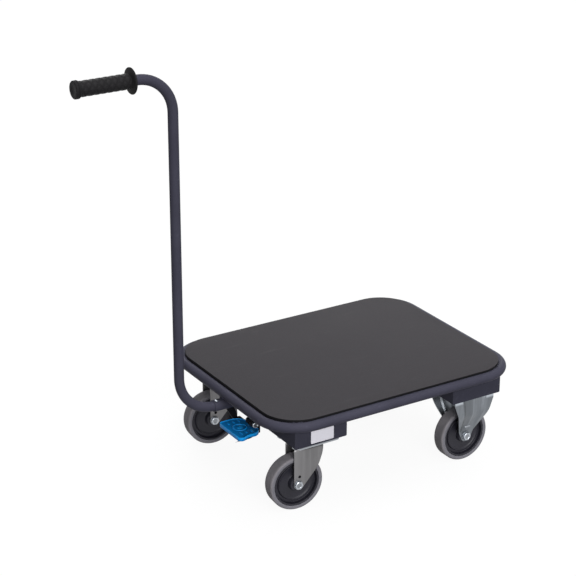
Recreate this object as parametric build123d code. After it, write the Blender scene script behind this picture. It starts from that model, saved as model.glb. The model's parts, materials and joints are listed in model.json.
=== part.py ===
"""Platform dolly: ring frame, deck, plugged push handle, two swivel and two fixed castors, pedal brake."""
import os
from math import cos, pi, radians, sin, sqrt

from build123d import *

os.makedirs("parts", exist_ok=True)

# Tubes of the ring and the handle
TUBE_OD = 22.0
TUBE_WALL = 2.0
RING_LENGTH = 619.0
RING_WIDTH = 488.0
RING_CORNER = 84.0
VENT_HOLE = 5.0
VENT_IN = 146.0

# Deck, lying on the crown of the ring
DECK_UP = 66.0
MAT = 1.5
BOARD = 3.0
DECK_MARGIN_X = 8.5
DECK_MARGIN_Y = 4.0
STUD = 6.0
STUD_LENGTH = 10.0
LUG_LENGTH = 24.0
LUG_WIDTH = 24.0
LUG_DROP = 25.0
LUG_IN = 85.0

# Cross channels, open trays of bent sheet
SHEET = 3.0
CHANNEL_WIDTH = 130.0
CHANNEL_SADDLE = 2.0
CHANNEL_BEND = 2.5
FRONT_CHANNEL_IN = 106.0
REAR_CHANNEL_IN = 103.0

# Castors
CASTOR_HEAD = 44.0
WHEEL_D = 125.0
WHEEL_W = 33.0
TYRE_DEPTH = 9.5
TYRE_SHOULDER = 5.0
CASTOR_IN = 53.5
SWIVEL_OFFSET = 9.0
TRAIL = 24.5
REST_YAW = -5.0
PLATE_X = 105.0
PLATE_Y = 97.0
PLATE_T = 4.0
PLATE_CORNER = 8.0
HOLES_X = 80.0
HOLES_Y = 60.0
FORK_T = 2.5
FORK_SIDE_PLAY = 2.5
FORK_END = 12.0
FORK_FOOT_AHEAD = 2.5
FORK_HEEL = 41.0
FORK_HOLE = 7.0
FORK_HOLE_UP = 18.0
CROWN_DROP = 20.5
CROWN_X = 71.0
KNEE_X = 24.0
KNEE_UP = 35.5
KNEE_ROUND = 14.0
SHOULDER_DROP = 16.5
KINGPIN_D = 16.0
KINGPIN_HEAD_D = 34.0
KINGPIN_HEAD_T = 5.0
RACE_D = 48.0
RACE_WIDTH = 12.0
BALL_D = 6.0
BALL_COUNT = 16
LOWER_RACE = 3.7
FIXED_END = 13.5
FIXED_HEEL = 26.0
FIXED_SHOULDER_DROP = 11.0
FIXED_WAIST_X = 73.0
FIXED_WAIST_UP = 51.5
FIXED_NECK_X = 48.0
FIXED_NECK_UP = 21.5
FIXED_LEG_BEND_UP = 65.5
FIXED_LEG_FOOT_UP = 11.0
FIXED_SLOT_X = 14.0
FIXED_SLOT_Z = 3.5
FIXED_SLOT_UP = 25.0

# Wheel hub
RIM_T = 4.5
RIM_INSET = 1.5
WEB_T = 7.0
RIDGE_D = 78.0
RIDGE_T = 3.0
RIDGE_W = 16.0
BOSS_D = 32.0
BEARING_D = 20.0

# Screws and clearances
AXLE = 10.0
AXLE_FLATS = 17.0
AXLE_HEAD = 6.4
AXLE_NUT = 8.0
M8 = 8.0
M8_FLATS = 13.0
M8_HEAD = 5.3
M8_NUT = 6.5
M6_FLATS = 10.0
M6_NUT = 5.0
SCREW_OVER = 2.0
HOLE_PLAY = 0.4
THREAD_PLAY = 0.05
RUNNING = 0.05
SWIVEL_PLAY = 0.3
END_PLAY = 0.4

# Handle with its grip and socket
HANDLE_OUT = 105.0
FOOT_BEND = 85.0
TOP_BEND = 79.0
FOOT_UP = 21.0
GRIP_Z = 948.0
GRIP_LENGTH = 128.0
GRIP_START = 11.0
GRIP_END_WALL = 7.0
GRIP_D = 33.0
GRIP_COLLAR_D = 37.5
GRIP_COLLAR = 9.0
GUARD_D = 55.0
GUARD_T = 5.0
GUARD_ROUND = 2.2
SOCKET_OD = 26.0
SOCKET_LENGTH = 64.0
SOCKET_PLAY = 0.1
SOCKET_REST = 6.0
SOCKET_SCREW_D = 6.0
SOCKET_SCREW_FLATS = 8.0
SOCKET_SCREW_HEAD = 3.5
SOCKET_SCREW_IN = 6.0
SOCKET_SCREW_TILT = 20.0
SOCKET_SCREW_REACH = 3.0
GUSSET_X = 7.0
GUSSET_Y = 10.0

# Pedal and its bracket
PIVOT_OUT = 15.0
PIVOT_UP = 5.0
SLEEVE_D = 12.0
CHEEK_NEAR_Y = -92.0
CHEEK_FAR_Y = 22.0
CHEEK_RISE = 27.0
CHEEK_EYE = 8.5
CHEEK_FLANGE = 20.0
CHEEK_FLANGE_UP = 4.0
PAD_X = 60.0
PAD_Y = 93.0
PAD_T = 7.0
PAD_REACH = 33.0
PAD_DROP = 37.0
PAD_MID_Y = -40.5
PAD_CORNER = 9.0
PAD_NEAR_CORNER = 20.0
PAD_FAR_CORNER = 30.0
PAD_RIM = 4.0
PAD_SINK = 1.6
PAD_STEP_X = 43.0
PAD_STEP_Y = 4.5
PAD_RIB = 3.0
PAD_RIB_LENGTH = 9.5
PAD_RIB_STEP = 13.0
PAD_RIB_IN = 3.0
PAD_BOSS_D = 24.0
PAD_BOSS_T = 1.1
LEVER_T = 3.0
LEVER_EDGE = 6.5
LEVER_EYE = 9.0
LEVER_BACK = 10.0
LEVER_FOOT = 21.0
STRAP_Y = 14.0
STRAP_DROP = 10.5
STRAP_CLEAR = 8.0
ARM_T = 6.0
ARM_REACH = 26.0
ARM_RISE = 10.0
ARM_DEPTH = 7.5
ARM_SLOT_PLAY = 1.5
ARM_SLOT_BELOW = 2.5
ARM_SLOT_ABOVE = 9.0
SPRING_WIRE = 1.6
SPRING_GAP = 0.6
SPRING_TURNS = 4

# Brake shaft and plungers
SHAFT_IN = 29.0
SHAFT_UP = 21.0
SHAFT_D = 10.0
SHAFT_OVER = 12.0
SHAFT_HUB_D = 16.0
INPUT_HUB_D = 18.0
BLOCK_IN = 63.0
BLOCK_T = 12.0
BLOCK_X = 22.0
INPUT_OVER = 6.0
INPUT_GAP = 0.8
FINGER_T = 8.0
FINGER_TIP = 4.0
FINGER_DROP = 4.0
PLUNGER_GAP = 0.5
PLUNGER_D = 7.0
PLUNGER_HEAD_D = 14.0
PLUNGER_HEAD_T = 4.0
SHOE_D = 16.0
SHOE_T = 3.0
SHOE_GAP = 6.0

# Blank rating plate on the end of the front channel
LABEL_X = 57.0
LABEL_Z = 30.0
LABEL_T = 0.5
LABEL_SHIFT = 3.0
LABEL_UP = 3.5

# Heights that follow from the wheels
axle_z = WHEEL_D / 2
castor_height = WHEEL_D + CASTOR_HEAD
plate_under = castor_height - PLATE_T
channel_floor = castor_height + SHEET
deck_top = castor_height + DECK_UP
deck_under = deck_top - MAT - BOARD
ring_z = deck_under - TUBE_OD / 2
foot_z = castor_height + FOOT_UP
crown_top = castor_height - CROWN_DROP
shoulder_z = crown_top - SHOULDER_DROP
knee_z = axle_z + KNEE_UP
fixed_shoulder_z = castor_height - FIXED_SHOULDER_DROP
fixed_waist_z = axle_z + FIXED_WAIST_UP
fixed_leg_bend = axle_z + FIXED_LEG_BEND_UP
fixed_neck_z = axle_z + FIXED_NECK_UP
fixed_leg_foot = axle_z + FIXED_LEG_FOOT_UP
pivot_z = castor_height + PIVOT_UP
cheek_top = castor_height + CHEEK_RISE
cheek_flange_z = castor_height + CHEEK_FLANGE_UP
pad_bottom = pivot_z - PAD_DROP
arm_top = pivot_z + ARM_RISE
shaft_z = channel_floor + SHAFT_UP
shoe_bottom = WHEEL_D + SHOE_GAP
label_bottom = castor_height + LABEL_UP

# Places that follow from the ring
front_channel_x = FRONT_CHANNEL_IN - RING_LENGTH / 2
rear_channel_x = RING_LENGTH / 2 - REAR_CHANNEL_IN
front_wall = front_channel_x - CHANNEL_WIDTH / 2
channel_end = RING_WIDTH / 2 - TUBE_OD / 2 + CHANNEL_SADDLE
track_y = channel_end - CASTOR_IN
lug_y = channel_end - LUG_IN
block_y = track_y - BLOCK_IN
vent_y = RING_WIDTH / 2 - VENT_IN
swivel_x = front_channel_x - SWIVEL_OFFSET
handle_x = -RING_LENGTH / 2 - HANDLE_OUT
pivot_x = front_wall - PIVOT_OUT
pad_out = pivot_x - PAD_REACH
shaft_x = front_wall + SHAFT_IN
label_mid_x = front_channel_x + LABEL_SHIFT
fork_gap = WHEEL_W + 2 * FORK_SIDE_PLAY
fork_out = fork_gap + 2 * FORK_T
grip_start_x = handle_x - TOP_BEND - GRIP_START
grip_end_x = grip_start_x - GRIP_LENGTH
frame_shift = -(grip_end_x + RING_LENGTH / 2 + TUBE_OD / 2) / 2


def save(name, shape):
    """Write one sub-part with the origin under the middle of the whole dolly."""
    export_step(Pos(frame_shift, 0, 0) * shape, f"parts/{name}.step")


def block(x0, x1, y0, y1, z0, z1):
    """Box between two corners."""
    return Pos((x0 + x1) / 2, (y0 + y1) / 2, (z0 + z1) / 2) * Box(x1 - x0, y1 - y0, z1 - z0)


def post(d, z0, z1):
    """Round bar along Z."""
    return Pos(0, 0, (z0 + z1) / 2) * Cylinder(d / 2, z1 - z0)


def bar(d, y0, y1):
    """Round bar along Y."""
    return Pos(0, (y0 + y1) / 2, 0) * Rot(90, 0, 0) * Cylinder(d / 2, y1 - y0)


def ring(outer, inner, width):
    """Flat ring about the Y axis."""
    return bar(outer, -width / 2, width / 2) - bar(inner, -width / 2, width / 2)


def hexagon(flats, z0, z1):
    """Hexagonal prism along Z."""
    return Pos(0, 0, z0) * extrude(RegularPolygon(flats / sqrt(3), 6), z1 - z0)


def screw(d, flats, head, length):
    """Hexagon screw, seat at z 0, head upwards, shank downwards."""
    return hexagon(flats, 0, head) + post(d, -length, 0)


def nut(d, flats, height):
    """Hexagon nut, seat at z 0, body downwards."""
    return hexagon(flats, -height, 0) - post(d + 2 * THREAD_PLAY, -height, 0)


def side_plate(outline, y0, thickness):
    """Sheet standing in an XZ plane from y0 towards -Y."""
    return Pos(0, y0, 0) * extrude(Plane.XZ * outline, thickness)


def flat_slab(length, width, corner, z0, z1):
    """Rounded rectangle between two heights."""
    return Pos(0, 0, z0) * extrude(RectangleRounded(length, width, corner), z1 - z0)


def swept(path, d):
    """Round bar along a path."""
    return sweep(Plane(origin=path @ 0, z_dir=path % 0) * Circle(d / 2), path)


# Frame ring, a closed hollow tube with vent holes underneath
ring_path = Pos(0, 0, ring_z) * RectangleRounded(RING_LENGTH, RING_WIDTH, RING_CORNER).wire()
ring_bar = swept(ring_path, TUBE_OD)
frame_ring = ring_bar - swept(ring_path, TUBE_OD - 2 * TUBE_WALL)
for x in (-RING_LENGTH / 2, RING_LENGTH / 2):
    for y in (-vent_y, vent_y):
        frame_ring -= Pos(x, y, 0) * post(VENT_HOLE, ring_z - TUBE_OD, ring_z)
save("frame_ring", frame_ring)


def channel(mid_x):
    """Sheet tray across the dolly, its ends cut to sit against the ring tube."""
    half = CHANNEL_WIDTH / 2
    tray = block(mid_x - half, mid_x + half, -channel_end, channel_end, castor_height, deck_under)
    tray = fillet(tray.edges().filter_by(Axis.Y).group_by(Axis.Z)[0], CHANNEL_BEND)
    inner = half - SHEET
    ends = channel_end - SHEET
    tray -= block(mid_x - inner, mid_x + inner, -ends, ends, channel_floor, deck_under)
    inside_ring = flat_slab(RING_LENGTH, RING_WIDTH, RING_CORNER, ring_z, deck_under)
    above_tube = block(mid_x - half, mid_x + half, -channel_end, channel_end, ring_z, deck_under)
    return tray - (above_tube - inside_ring) - ring_bar


plate_spots = [Pos(i * HOLES_X / 2, j * HOLES_Y / 2, 0) for i in (-1, 1) for j in (-1, 1)]


def castor_spots(mid_x):
    """Places of the eight screws of one axle."""
    return [Pos(mid_x, side * track_y, 0) * spot for side in (-1, 1) for spot in plate_spots]


castor_hole = post(M8 + 2 * HOLE_PLAY, plate_under, channel_floor)
front_channel = channel(front_channel_x)
for spot in castor_spots(swivel_x):
    front_channel -= spot * castor_hole
for side in (-1, 1):
    front_channel -= Pos(swivel_x, side * track_y, 0) * post(SHOE_D, castor_height, channel_floor)
arm_mid_y = CHEEK_NEAR_Y + END_PLAY + ARM_T / 2
arm_half = ARM_T / 2 + ARM_SLOT_PLAY
arm_low = arm_top - ARM_DEPTH - ARM_SLOT_BELOW
front_channel -= block(
    front_wall, front_wall + SHEET, arm_mid_y - arm_half, arm_mid_y + arm_half, arm_low, arm_top + ARM_SLOT_ABOVE
)
save("front_cross_channel", front_channel)

rear_channel = channel(rear_channel_x)
for spot in castor_spots(rear_channel_x):
    rear_channel -= spot * castor_hole
save("rear_cross_channel", rear_channel)

label_mid_z = label_bottom + LABEL_Z / 2
label = Pos(label_mid_x, -channel_end - LABEL_T / 2, label_mid_z) * Box(LABEL_X, LABEL_T, LABEL_Z)
save("rating_plate", label)

# Deck board with welded studs, its covering, and the lugs that hold it down
deck_length = RING_LENGTH - 2 * DECK_MARGIN_X
deck_width = RING_WIDTH - 2 * DECK_MARGIN_Y
deck_corner = RING_CORNER - DECK_MARGIN_Y
board_top = deck_top - MAT
front_lug_x = front_channel_x + CHANNEL_WIDTH / 2 - SHEET
rear_lug_x = rear_channel_x - CHANNEL_WIDTH / 2 + SHEET
lug_spots = [(x, turn, y) for x, turn in ((front_lug_x, -1), (rear_lug_x, 1)) for y in (-lug_y, lug_y)]
deck_board = flat_slab(deck_length, deck_width, deck_corner, deck_under, board_top)
deck_mat = flat_slab(deck_length, deck_width, deck_corner, board_top, deck_top)
deck_lugs = []
deck_nuts = []
for x, turn, y in lug_spots:
    stud_x = x + turn * LUG_LENGTH / 2
    deck_board += Pos(stud_x, y, 0) * post(STUD, deck_under - STUD_LENGTH, deck_under)
    tab = Pos(stud_x, y, deck_under - SHEET / 2) * Box(LUG_LENGTH, LUG_WIDTH, SHEET)
    leg = Pos(x + turn * SHEET / 2, y, deck_under - LUG_DROP / 2) * Box(SHEET, LUG_WIDTH, LUG_DROP)
    deck_lugs.append(tab + leg - Pos(stud_x, y, 0) * post(STUD + 2 * HOLE_PLAY, ring_z, deck_under))
    deck_nuts.append(Pos(stud_x, y, deck_under - SHEET) * nut(STUD, M6_FLATS, M6_NUT))
save("deck_board", deck_board)
save("deck_mat", deck_mat)
save("deck_lugs", Compound(deck_lugs))
save("deck_nuts", Compound(deck_nuts))

# Handle tube, plugged into a socket on the front channel
socket_mouth = front_wall - SOCKET_LENGTH
handle_path = FilletPolyline(
    (front_wall - SOCKET_REST, 0, foot_z),
    (handle_x, 0, foot_z),
    (handle_x, 0, GRIP_Z),
    (grip_end_x + GRIP_END_WALL, 0, GRIP_Z),
    radius=[FOOT_BEND, TOP_BEND],
)
screw_place = Pos(socket_mouth + SOCKET_SCREW_IN, 0, foot_z) * Rot(SOCKET_SCREW_TILT, 0, 0)
screw_hole = screw_place * post(SOCKET_SCREW_D + 2 * THREAD_PLAY, 0, SOCKET_OD)
handle_tube = swept(handle_path, TUBE_OD) - swept(handle_path, TUBE_OD - 2 * TUBE_WALL)
save("handle_tube", handle_tube - screw_hole)

socket_bore = TUBE_OD + 2 * SOCKET_PLAY
along_x = Pos((socket_mouth + front_wall) / 2, 0, foot_z) * Rot(0, 90, 0)
gusset = Pos(-RING_LENGTH / 2, 0, (foot_z + ring_z) / 2) * Box(GUSSET_X, GUSSET_Y, ring_z - foot_z)
handle_socket = along_x * Cylinder(SOCKET_OD / 2, SOCKET_LENGTH) + gusset - ring_bar
handle_socket -= along_x * Cylinder(socket_bore / 2, SOCKET_LENGTH)
save("handle_socket", handle_socket - screw_hole)

screw_seat = screw_place * Pos(0, 0, SOCKET_OD / 2)
screw_length = (SOCKET_OD - TUBE_OD) / 2 + TUBE_WALL + SOCKET_SCREW_REACH
clamp_screw = screw(SOCKET_SCREW_D, SOCKET_SCREW_FLATS, SOCKET_SCREW_HEAD, screw_length)
save("handle_screw", screw_seat * clamp_screw)

# Grip with a hand guard at the tube side and a collar at the free end
grip_mid = Pos(grip_start_x, 0, GRIP_Z) * Rot(0, -90, 0)
guard = fillet(post(GUARD_D, 0, GUARD_T).edges(), GUARD_ROUND)
collar = fillet(post(GRIP_COLLAR_D, GRIP_LENGTH - GRIP_COLLAR, GRIP_LENGTH).edges(), GUARD_ROUND)
grip = guard + post(GRIP_D, 0, GRIP_LENGTH - GRIP_COLLAR / 2) + collar
grip -= post(TUBE_OD, 0, GRIP_LENGTH - GRIP_END_WALL)
save("handle_grip", grip_mid * grip)

# Pedal bracket, two cheeks with flanges on the front wall
cheek_foot = (cheek_top - pivot_z) / 2
cheek_outline = make_hull((
    Pos(pivot_x, pivot_z) * Circle(CHEEK_EYE)
    + Pos(front_wall - SHEET / 2, cheek_top - cheek_foot) * Rectangle(SHEET, 2 * cheek_foot)
).edges())
pivot = Pos(pivot_x, 0, pivot_z)
flange_x = front_wall - SHEET
near_out = CHEEK_NEAR_Y - SHEET
far_out = CHEEK_FAR_Y + SHEET
flange_near = block(flange_x, front_wall, near_out - CHEEK_FLANGE, near_out, cheek_flange_z, cheek_top)
flange_far = block(flange_x, front_wall, far_out, far_out + CHEEK_FLANGE, cheek_flange_z, cheek_top)
pivot_hole = pivot * bar(M8 + 2 * HOLE_PLAY, near_out, CHEEK_NEAR_Y)
far_arm_y = CHEEK_FAR_Y - END_PLAY - ARM_T
far_pin = pivot * bar(M8, far_arm_y, CHEEK_FAR_Y)
cheek_near = side_plate(cheek_outline, CHEEK_NEAR_Y, SHEET) + flange_near - pivot_hole
cheek_far = side_plate(cheek_outline, far_out, SHEET) + flange_far + far_pin
save("pedal_bracket", Compound([cheek_near, cheek_far]))

# Pivot bolt at the near cheek, long enough for the lever's sleeve and the return spring
arm_y0 = arm_mid_y - ARM_T / 2
arm_y1 = arm_mid_y + ARM_T / 2
coil_pitch = SPRING_WIRE + SPRING_GAP
spring_y = arm_y1 + coil_pitch * SPRING_TURNS + SPRING_WIRE / 2 + SPRING_GAP
sleeve_end = spring_y + SPRING_WIRE / 2 + SPRING_GAP
bolt_seat = Pos(pivot_x, near_out, pivot_z) * Rot(90, 0, 0)
bolt_grip = sleeve_end + END_PLAY - near_out
save("pedal_pivot_bolt", bolt_seat * screw(M8, M8_FLATS, M8_HEAD, bolt_grip + M8_NUT + SCREW_OVER))
save("pedal_pivot_nut", bolt_seat * Pos(0, 0, -bolt_grip) * nut(M8, M8_FLATS, M8_NUT))

# Pedal lever: plate under the pad, strap behind it, an eye at each pivot, nose towards the brake shaft
pad_in = pad_out + PAD_X
lever_end = pad_in + END_PLAY + LEVER_T
pad_y0 = PAD_MID_Y - PAD_Y / 2
pad_y1 = PAD_MID_Y + PAD_Y / 2
pad_top = pad_bottom + PAD_T
far_arm_end = far_arm_y + ARM_T
lever_under = pad_bottom - LEVER_T
strap_y0 = pad_y0 + PAD_NEAR_CORNER
strap_y1 = strap_y0 + STRAP_Y
plate_y0 = pad_y0 + LEVER_EDGE
plate_y1 = pad_y1 - LEVER_EDGE
lever = block(pad_out + LEVER_EDGE, pad_in - LEVER_EDGE, plate_y0, plate_y1, lever_under, pad_bottom)
lever += block(pad_in - LEVER_BACK, lever_end, strap_y0, far_arm_end, lever_under, pad_bottom)
foot_x = pivot_x + LEVER_FOOT - LEVER_EYE / 2
far_outline = make_hull((
    Pos(pivot_x, pivot_z) * Circle(LEVER_EYE)
    + Pos(foot_x, lever_under + LEVER_EYE / 2) * Rectangle(LEVER_EYE, LEVER_EYE)
).edges())
lever += side_plate(far_outline, far_arm_end, ARM_T)
strap_x = pivot_x + LEVER_EYE + LEVER_T / 2
strap_top = pivot_z - STRAP_DROP
strap_low = pad_top + STRAP_CLEAR
strap = make_hull((
    Pos(strap_x, strap_top) * Circle(LEVER_T / 2)
    + Pos(lever_end - LEVER_T / 2, strap_low) * Circle(LEVER_T / 2)
).edges())
lever += side_plate(strap, strap_y1, STRAP_Y)
lever += block(lever_end - LEVER_T, lever_end, strap_y0, strap_y1, lever_under, strap_low)
arm_mid = arm_top - ARM_DEPTH / 2
lever += block(strap_x - LEVER_T / 2, strap_x + LEVER_T / 2, arm_y0, strap_y1, strap_top, arm_mid)
lever += block(pivot_x, strap_x, arm_y0, arm_y1, pivot_z - LEVER_EYE, arm_mid)
lever += pivot * bar(2 * LEVER_EYE, arm_y0, arm_y1)
lever += pivot * bar(SLEEVE_D, arm_y0, sleeve_end)
arm_x0 = pivot_x - ARM_DEPTH / 2
arm_x1 = pivot_x + ARM_REACH
lever += block(arm_x0, arm_x1, arm_y0, arm_y1, arm_top - ARM_DEPTH, arm_top)
lever += Pos(arm_x1, 0, arm_mid) * bar(ARM_DEPTH, arm_y0, arm_y1)
save("pedal_lever", lever - pivot * bar(M8 + 2 * RUNNING, arm_y0, far_arm_end))


def pedal_slab(length, width, inset, z0, z1):
    """Slab of the pedal's plan, its corners those of the pad less the inset."""
    plan = Rectangle(length, width)
    plan = fillet(plan.vertices().group_by(Axis.X)[0], PAD_CORNER - inset)
    plan = fillet(plan.vertices().group_by(Axis.X)[-1].sort_by(Axis.Y)[0], PAD_NEAR_CORNER - inset)
    plan = fillet(plan.vertices().group_by(Axis.X)[-1].sort_by(Axis.Y)[-1], PAD_FAR_CORNER - inset)
    return Pos(0, 0, z0) * extrude(plan, z1 - z0)


# Pedal pad: sunk tread inside a rim, plain boss and short grip ribs
pad_mid_x = pad_out + PAD_X / 2
pad_place = Pos(pad_mid_x, PAD_MID_Y, 0)
pad = pedal_slab(PAD_X, PAD_Y, 0, pad_bottom, pad_top)
step_x = PAD_X / 2 - PAD_STEP_X
pad -= block(step_x, PAD_X, -PAD_Y, PAD_STEP_Y - PAD_Y / 2, pad_bottom, pad_top)
step_edges = [e for e in pad.edges().filter_by(Axis.Z) if abs(e.center().X - step_x) < PAD_STEP_Y / 3]
pad = fillet(step_edges, PAD_STEP_Y / 3)
pad = fillet(pad.faces().sort_by(Axis.Z)[-1].edges(), PAD_RIM / 2)
tread_x = PAD_X - 2 * PAD_RIM
tread_y = PAD_Y - 2 * PAD_RIM - PAD_STEP_Y
tread_place = Pos(0, PAD_STEP_Y / 2, 0)
tread_floor = pad_top - PAD_SINK
pad -= tread_place * pedal_slab(tread_x, tread_y, PAD_RIM, tread_floor, pad_top)
pad += tread_place * post(PAD_BOSS_D, tread_floor, tread_floor + PAD_BOSS_T)
pad_rib = Pos(0, 0, pad_top - PAD_SINK / 2) * Box(PAD_RIB, PAD_RIB_LENGTH, PAD_SINK)
rib_y = (tread_y - PAD_RIB_LENGTH) / 2 - PAD_RIB_IN
for side in (-1, 1):
    for i in (-1, 0, 1):
        pad += tread_place * Pos(i * PAD_RIB_STEP, side * rib_y, 0) * pad_rib
save("pedal_pad", pad_place * pad)


def coil(turns, pitch, radius):
    """Path that winds up along Z, each quarter turn made of two tangent arcs."""
    angles = [radians(90 * i) for i in range(4 * turns + 1)]
    points = [Vector(radius * cos(a), radius * sin(a), pitch * a / (2 * pi)) for a in angles]
    ways = [Vector(-radius * sin(a), radius * cos(a), pitch / (2 * pi)).normalized() for a in angles]
    arcs = []
    for i in range(4 * turns):
        span = points[i + 1] - points[i]
        along = span.dot(ways[i] + ways[i + 1])
        bend = 2 * (1 - ways[i].dot(ways[i + 1]))
        reach = (sqrt(along**2 + bend * span.dot(span)) - along) / bend
        middle = (points[i] + points[i + 1] + (ways[i] - ways[i + 1]) * reach) * 0.5
        arcs.append(TangentArc(points[i], middle, tangent=ways[i]))
        arcs.append(TangentArc(middle, points[i + 1], tangent=arcs[-1] % 1))
    return Wire(arcs)


# Return spring wound on the sleeve
coil_radius = SLEEVE_D / 2 + SPRING_WIRE / 2 + RUNNING
coil_path = coil(SPRING_TURNS, coil_pitch, coil_radius)
coil_points = [coil_path @ (i / (24 * SPRING_TURNS)) for i in range(24 * SPRING_TURNS + 1)]
coil_gap = min((p - q).length for i, p in enumerate(coil_points) for q in coil_points[i + 12:]) - SPRING_WIRE
print(f"pedal_return_spring: least gap to itself {coil_gap:.2f} mm")
spring = swept(coil_path, SPRING_WIRE)
save("pedal_return_spring", Pos(pivot_x, spring_y, pivot_z) * Rot(90, 0, 0) * spring)

# Brake shaft with one input finger and two press fingers
shaft = Pos(shaft_x, 0, shaft_z)
shaft_half = track_y + SHAFT_OVER
press_reach = swivel_x - shaft_x
brake_shaft = shaft * bar(SHAFT_D, -shaft_half, shaft_half)
input_tip = arm_x1 - INPUT_OVER
brake_shaft += block(input_tip, shaft_x, arm_y0, arm_y1, arm_top + INPUT_GAP, shaft_z)
brake_shaft += shaft * bar(INPUT_HUB_D, arm_y0, arm_y1)
finger_ends = Circle(SHAFT_HUB_D / 2) + Pos(press_reach, -FINGER_DROP) * Circle(FINGER_TIP)
finger = make_hull(finger_ends.edges())
for side in (-1, 1):
    brake_shaft += shaft * side_plate(finger, side * track_y + FINGER_T / 2, FINGER_T)
save("brake_shaft", brake_shaft)

brake_blocks = []
for side in (-1, 1):
    y0 = side * block_y - BLOCK_T / 2
    y1 = side * block_y + BLOCK_T / 2
    stand = block(shaft_x - BLOCK_X / 2, shaft_x + BLOCK_X / 2, y0, y1, channel_floor, shaft_z)
    stand += shaft * bar(BLOCK_X, y0, y1)
    brake_blocks.append(stand - shaft * bar(SHAFT_D + 2 * RUNNING, y0, y1))
save("brake_shaft_bearings", Compound(brake_blocks))

finger_under = shaft_z - FINGER_DROP - FINGER_TIP
plunger_top = finger_under - PLUNGER_GAP
plunger = post(PLUNGER_HEAD_D, plunger_top - PLUNGER_HEAD_T, plunger_top)
plunger += post(PLUNGER_D, shoe_bottom, plunger_top)
plunger += post(SHOE_D, shoe_bottom, shoe_bottom + SHOE_T)
for name, side in (("near", -1), ("far", 1)):
    save(f"brake_plunger_{name}", Pos(swivel_x, side * track_y, 0) * plunger)

# Wheel pieces about the Y axis, axle at the origin
tyre_inner = WHEEL_D - 2 * TYRE_DEPTH
tyre = bar(WHEEL_D, -WHEEL_W / 2, WHEEL_W / 2)
tyre = fillet(tyre.edges(), TYRE_SHOULDER) - bar(tyre_inner, -WHEEL_W / 2, WHEEL_W / 2)
hub_half = fork_gap / 2 - SWIVEL_PLAY
hub = ring(tyre_inner, tyre_inner - 2 * RIM_T, WHEEL_W - 2 * RIM_INSET)
hub += bar(tyre_inner - RIM_T, -WEB_T / 2, WEB_T / 2)
hub += ring(RIDGE_D, RIDGE_D - 2 * RIDGE_T, RIDGE_W)
hub += bar(BOSS_D, -hub_half, hub_half)
hub -= bar(BEARING_D, -hub_half, hub_half)
bearing = ring(BEARING_D, AXLE + 2 * RUNNING, 2 * hub_half)
axle_seat = Pos(0, -fork_out / 2, 0) * Rot(90, 0, 0)
axle_bolt = axle_seat * screw(AXLE, AXLE_FLATS, AXLE_HEAD, fork_out + AXLE_NUT + SCREW_OVER)
axle_nut = axle_seat * Pos(0, 0, -fork_out) * nut(AXLE, AXLE_FLATS, AXLE_NUT)


def save_wheel(name, place):
    """Write the pieces of one wheel."""
    at_axle = place * Pos(0, 0, axle_z)
    save(f"{name}_tyre", at_axle * tyre)
    save(f"{name}_hub", at_axle * hub)
    save(f"{name}_bearing", at_axle * bearing)
    save(f"{name}_axle_bolt", at_axle * axle_bolt)
    save(f"{name}_axle_nut", at_axle * axle_nut)


# Swivel castor about its kingpin, wheel trailing towards -X
crown_under = crown_top - FORK_T
foot_x = FORK_FOOT_AHEAD - TRAIL
fork_back = foot_x - FORK_END
heel_x = foot_x + FORK_END * cos(radians(FORK_HEEL))
heel_z = axle_z - FORK_END * sin(radians(FORK_HEEL))
leg_outline = make_face(Polyline(
    (fork_back, crown_top),
    (fork_back, axle_z),
    (heel_x, heel_z),
    (KNEE_X, knee_z),
    (CROWN_X / 2, shoulder_z),
    (CROWN_X / 2, crown_top),
    close=True,
))
knees = leg_outline.vertices().filter_by_position(Axis.X, KNEE_X - 1, CROWN_X / 2 + 1)
knees = knees.filter_by_position(Axis.Y, knee_z - 1, shoulder_z + 1)
leg_outline = fillet(knees, KNEE_ROUND) + Pos(foot_x, axle_z) * Circle(FORK_END)
leg_outline -= Pos(-TRAIL, axle_z) * Circle(AXLE / 2 + HOLE_PLAY)
leg_outline -= Pos(-TRAIL + FORK_HOLE / 2, axle_z + FORK_HOLE_UP) * Circle(FORK_HOLE / 2)
fork = side_plate(leg_outline, -fork_gap / 2, FORK_T) + side_plate(leg_outline, fork_out / 2, FORK_T)
fork += block(fork_back, CROWN_X / 2, -fork_out / 2, fork_out / 2, crown_under, crown_top)
race_outer = RACE_D + RACE_WIDTH
race_inner = RACE_D - RACE_WIDTH
fork += post(race_outer, crown_under, crown_top + LOWER_RACE)
fork -= post(race_inner, crown_top, crown_top + LOWER_RACE)
fork -= post(KINGPIN_D + 2 * SWIVEL_PLAY, crown_under, crown_top)
ball_z = crown_top + LOWER_RACE + SWIVEL_PLAY + BALL_D / 2
ball_top = ball_z + BALL_D / 2
upper_race = post(race_outer, ball_top, plate_under) - post(race_inner, ball_top, plate_under)
swivel_plate = flat_slab(PLATE_X, PLATE_Y, PLATE_CORNER, plate_under, castor_height) + upper_race
swivel_plate -= post(KINGPIN_D, plate_under, castor_height)
for spot in plate_spots:
    swivel_plate -= spot * castor_hole
head_top = crown_under - SWIVEL_PLAY
kingpin = post(KINGPIN_D, head_top - KINGPIN_HEAD_T, castor_height)
kingpin += post(KINGPIN_HEAD_D, head_top - KINGPIN_HEAD_T, head_top)
kingpin -= post(PLUNGER_D + 2 * RUNNING, head_top - KINGPIN_HEAD_T, castor_height)
balls = [Pos(0, 0, ball_z) * loc * Sphere(BALL_D / 2) for loc in PolarLocations(RACE_D / 2, BALL_COUNT)]

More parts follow.
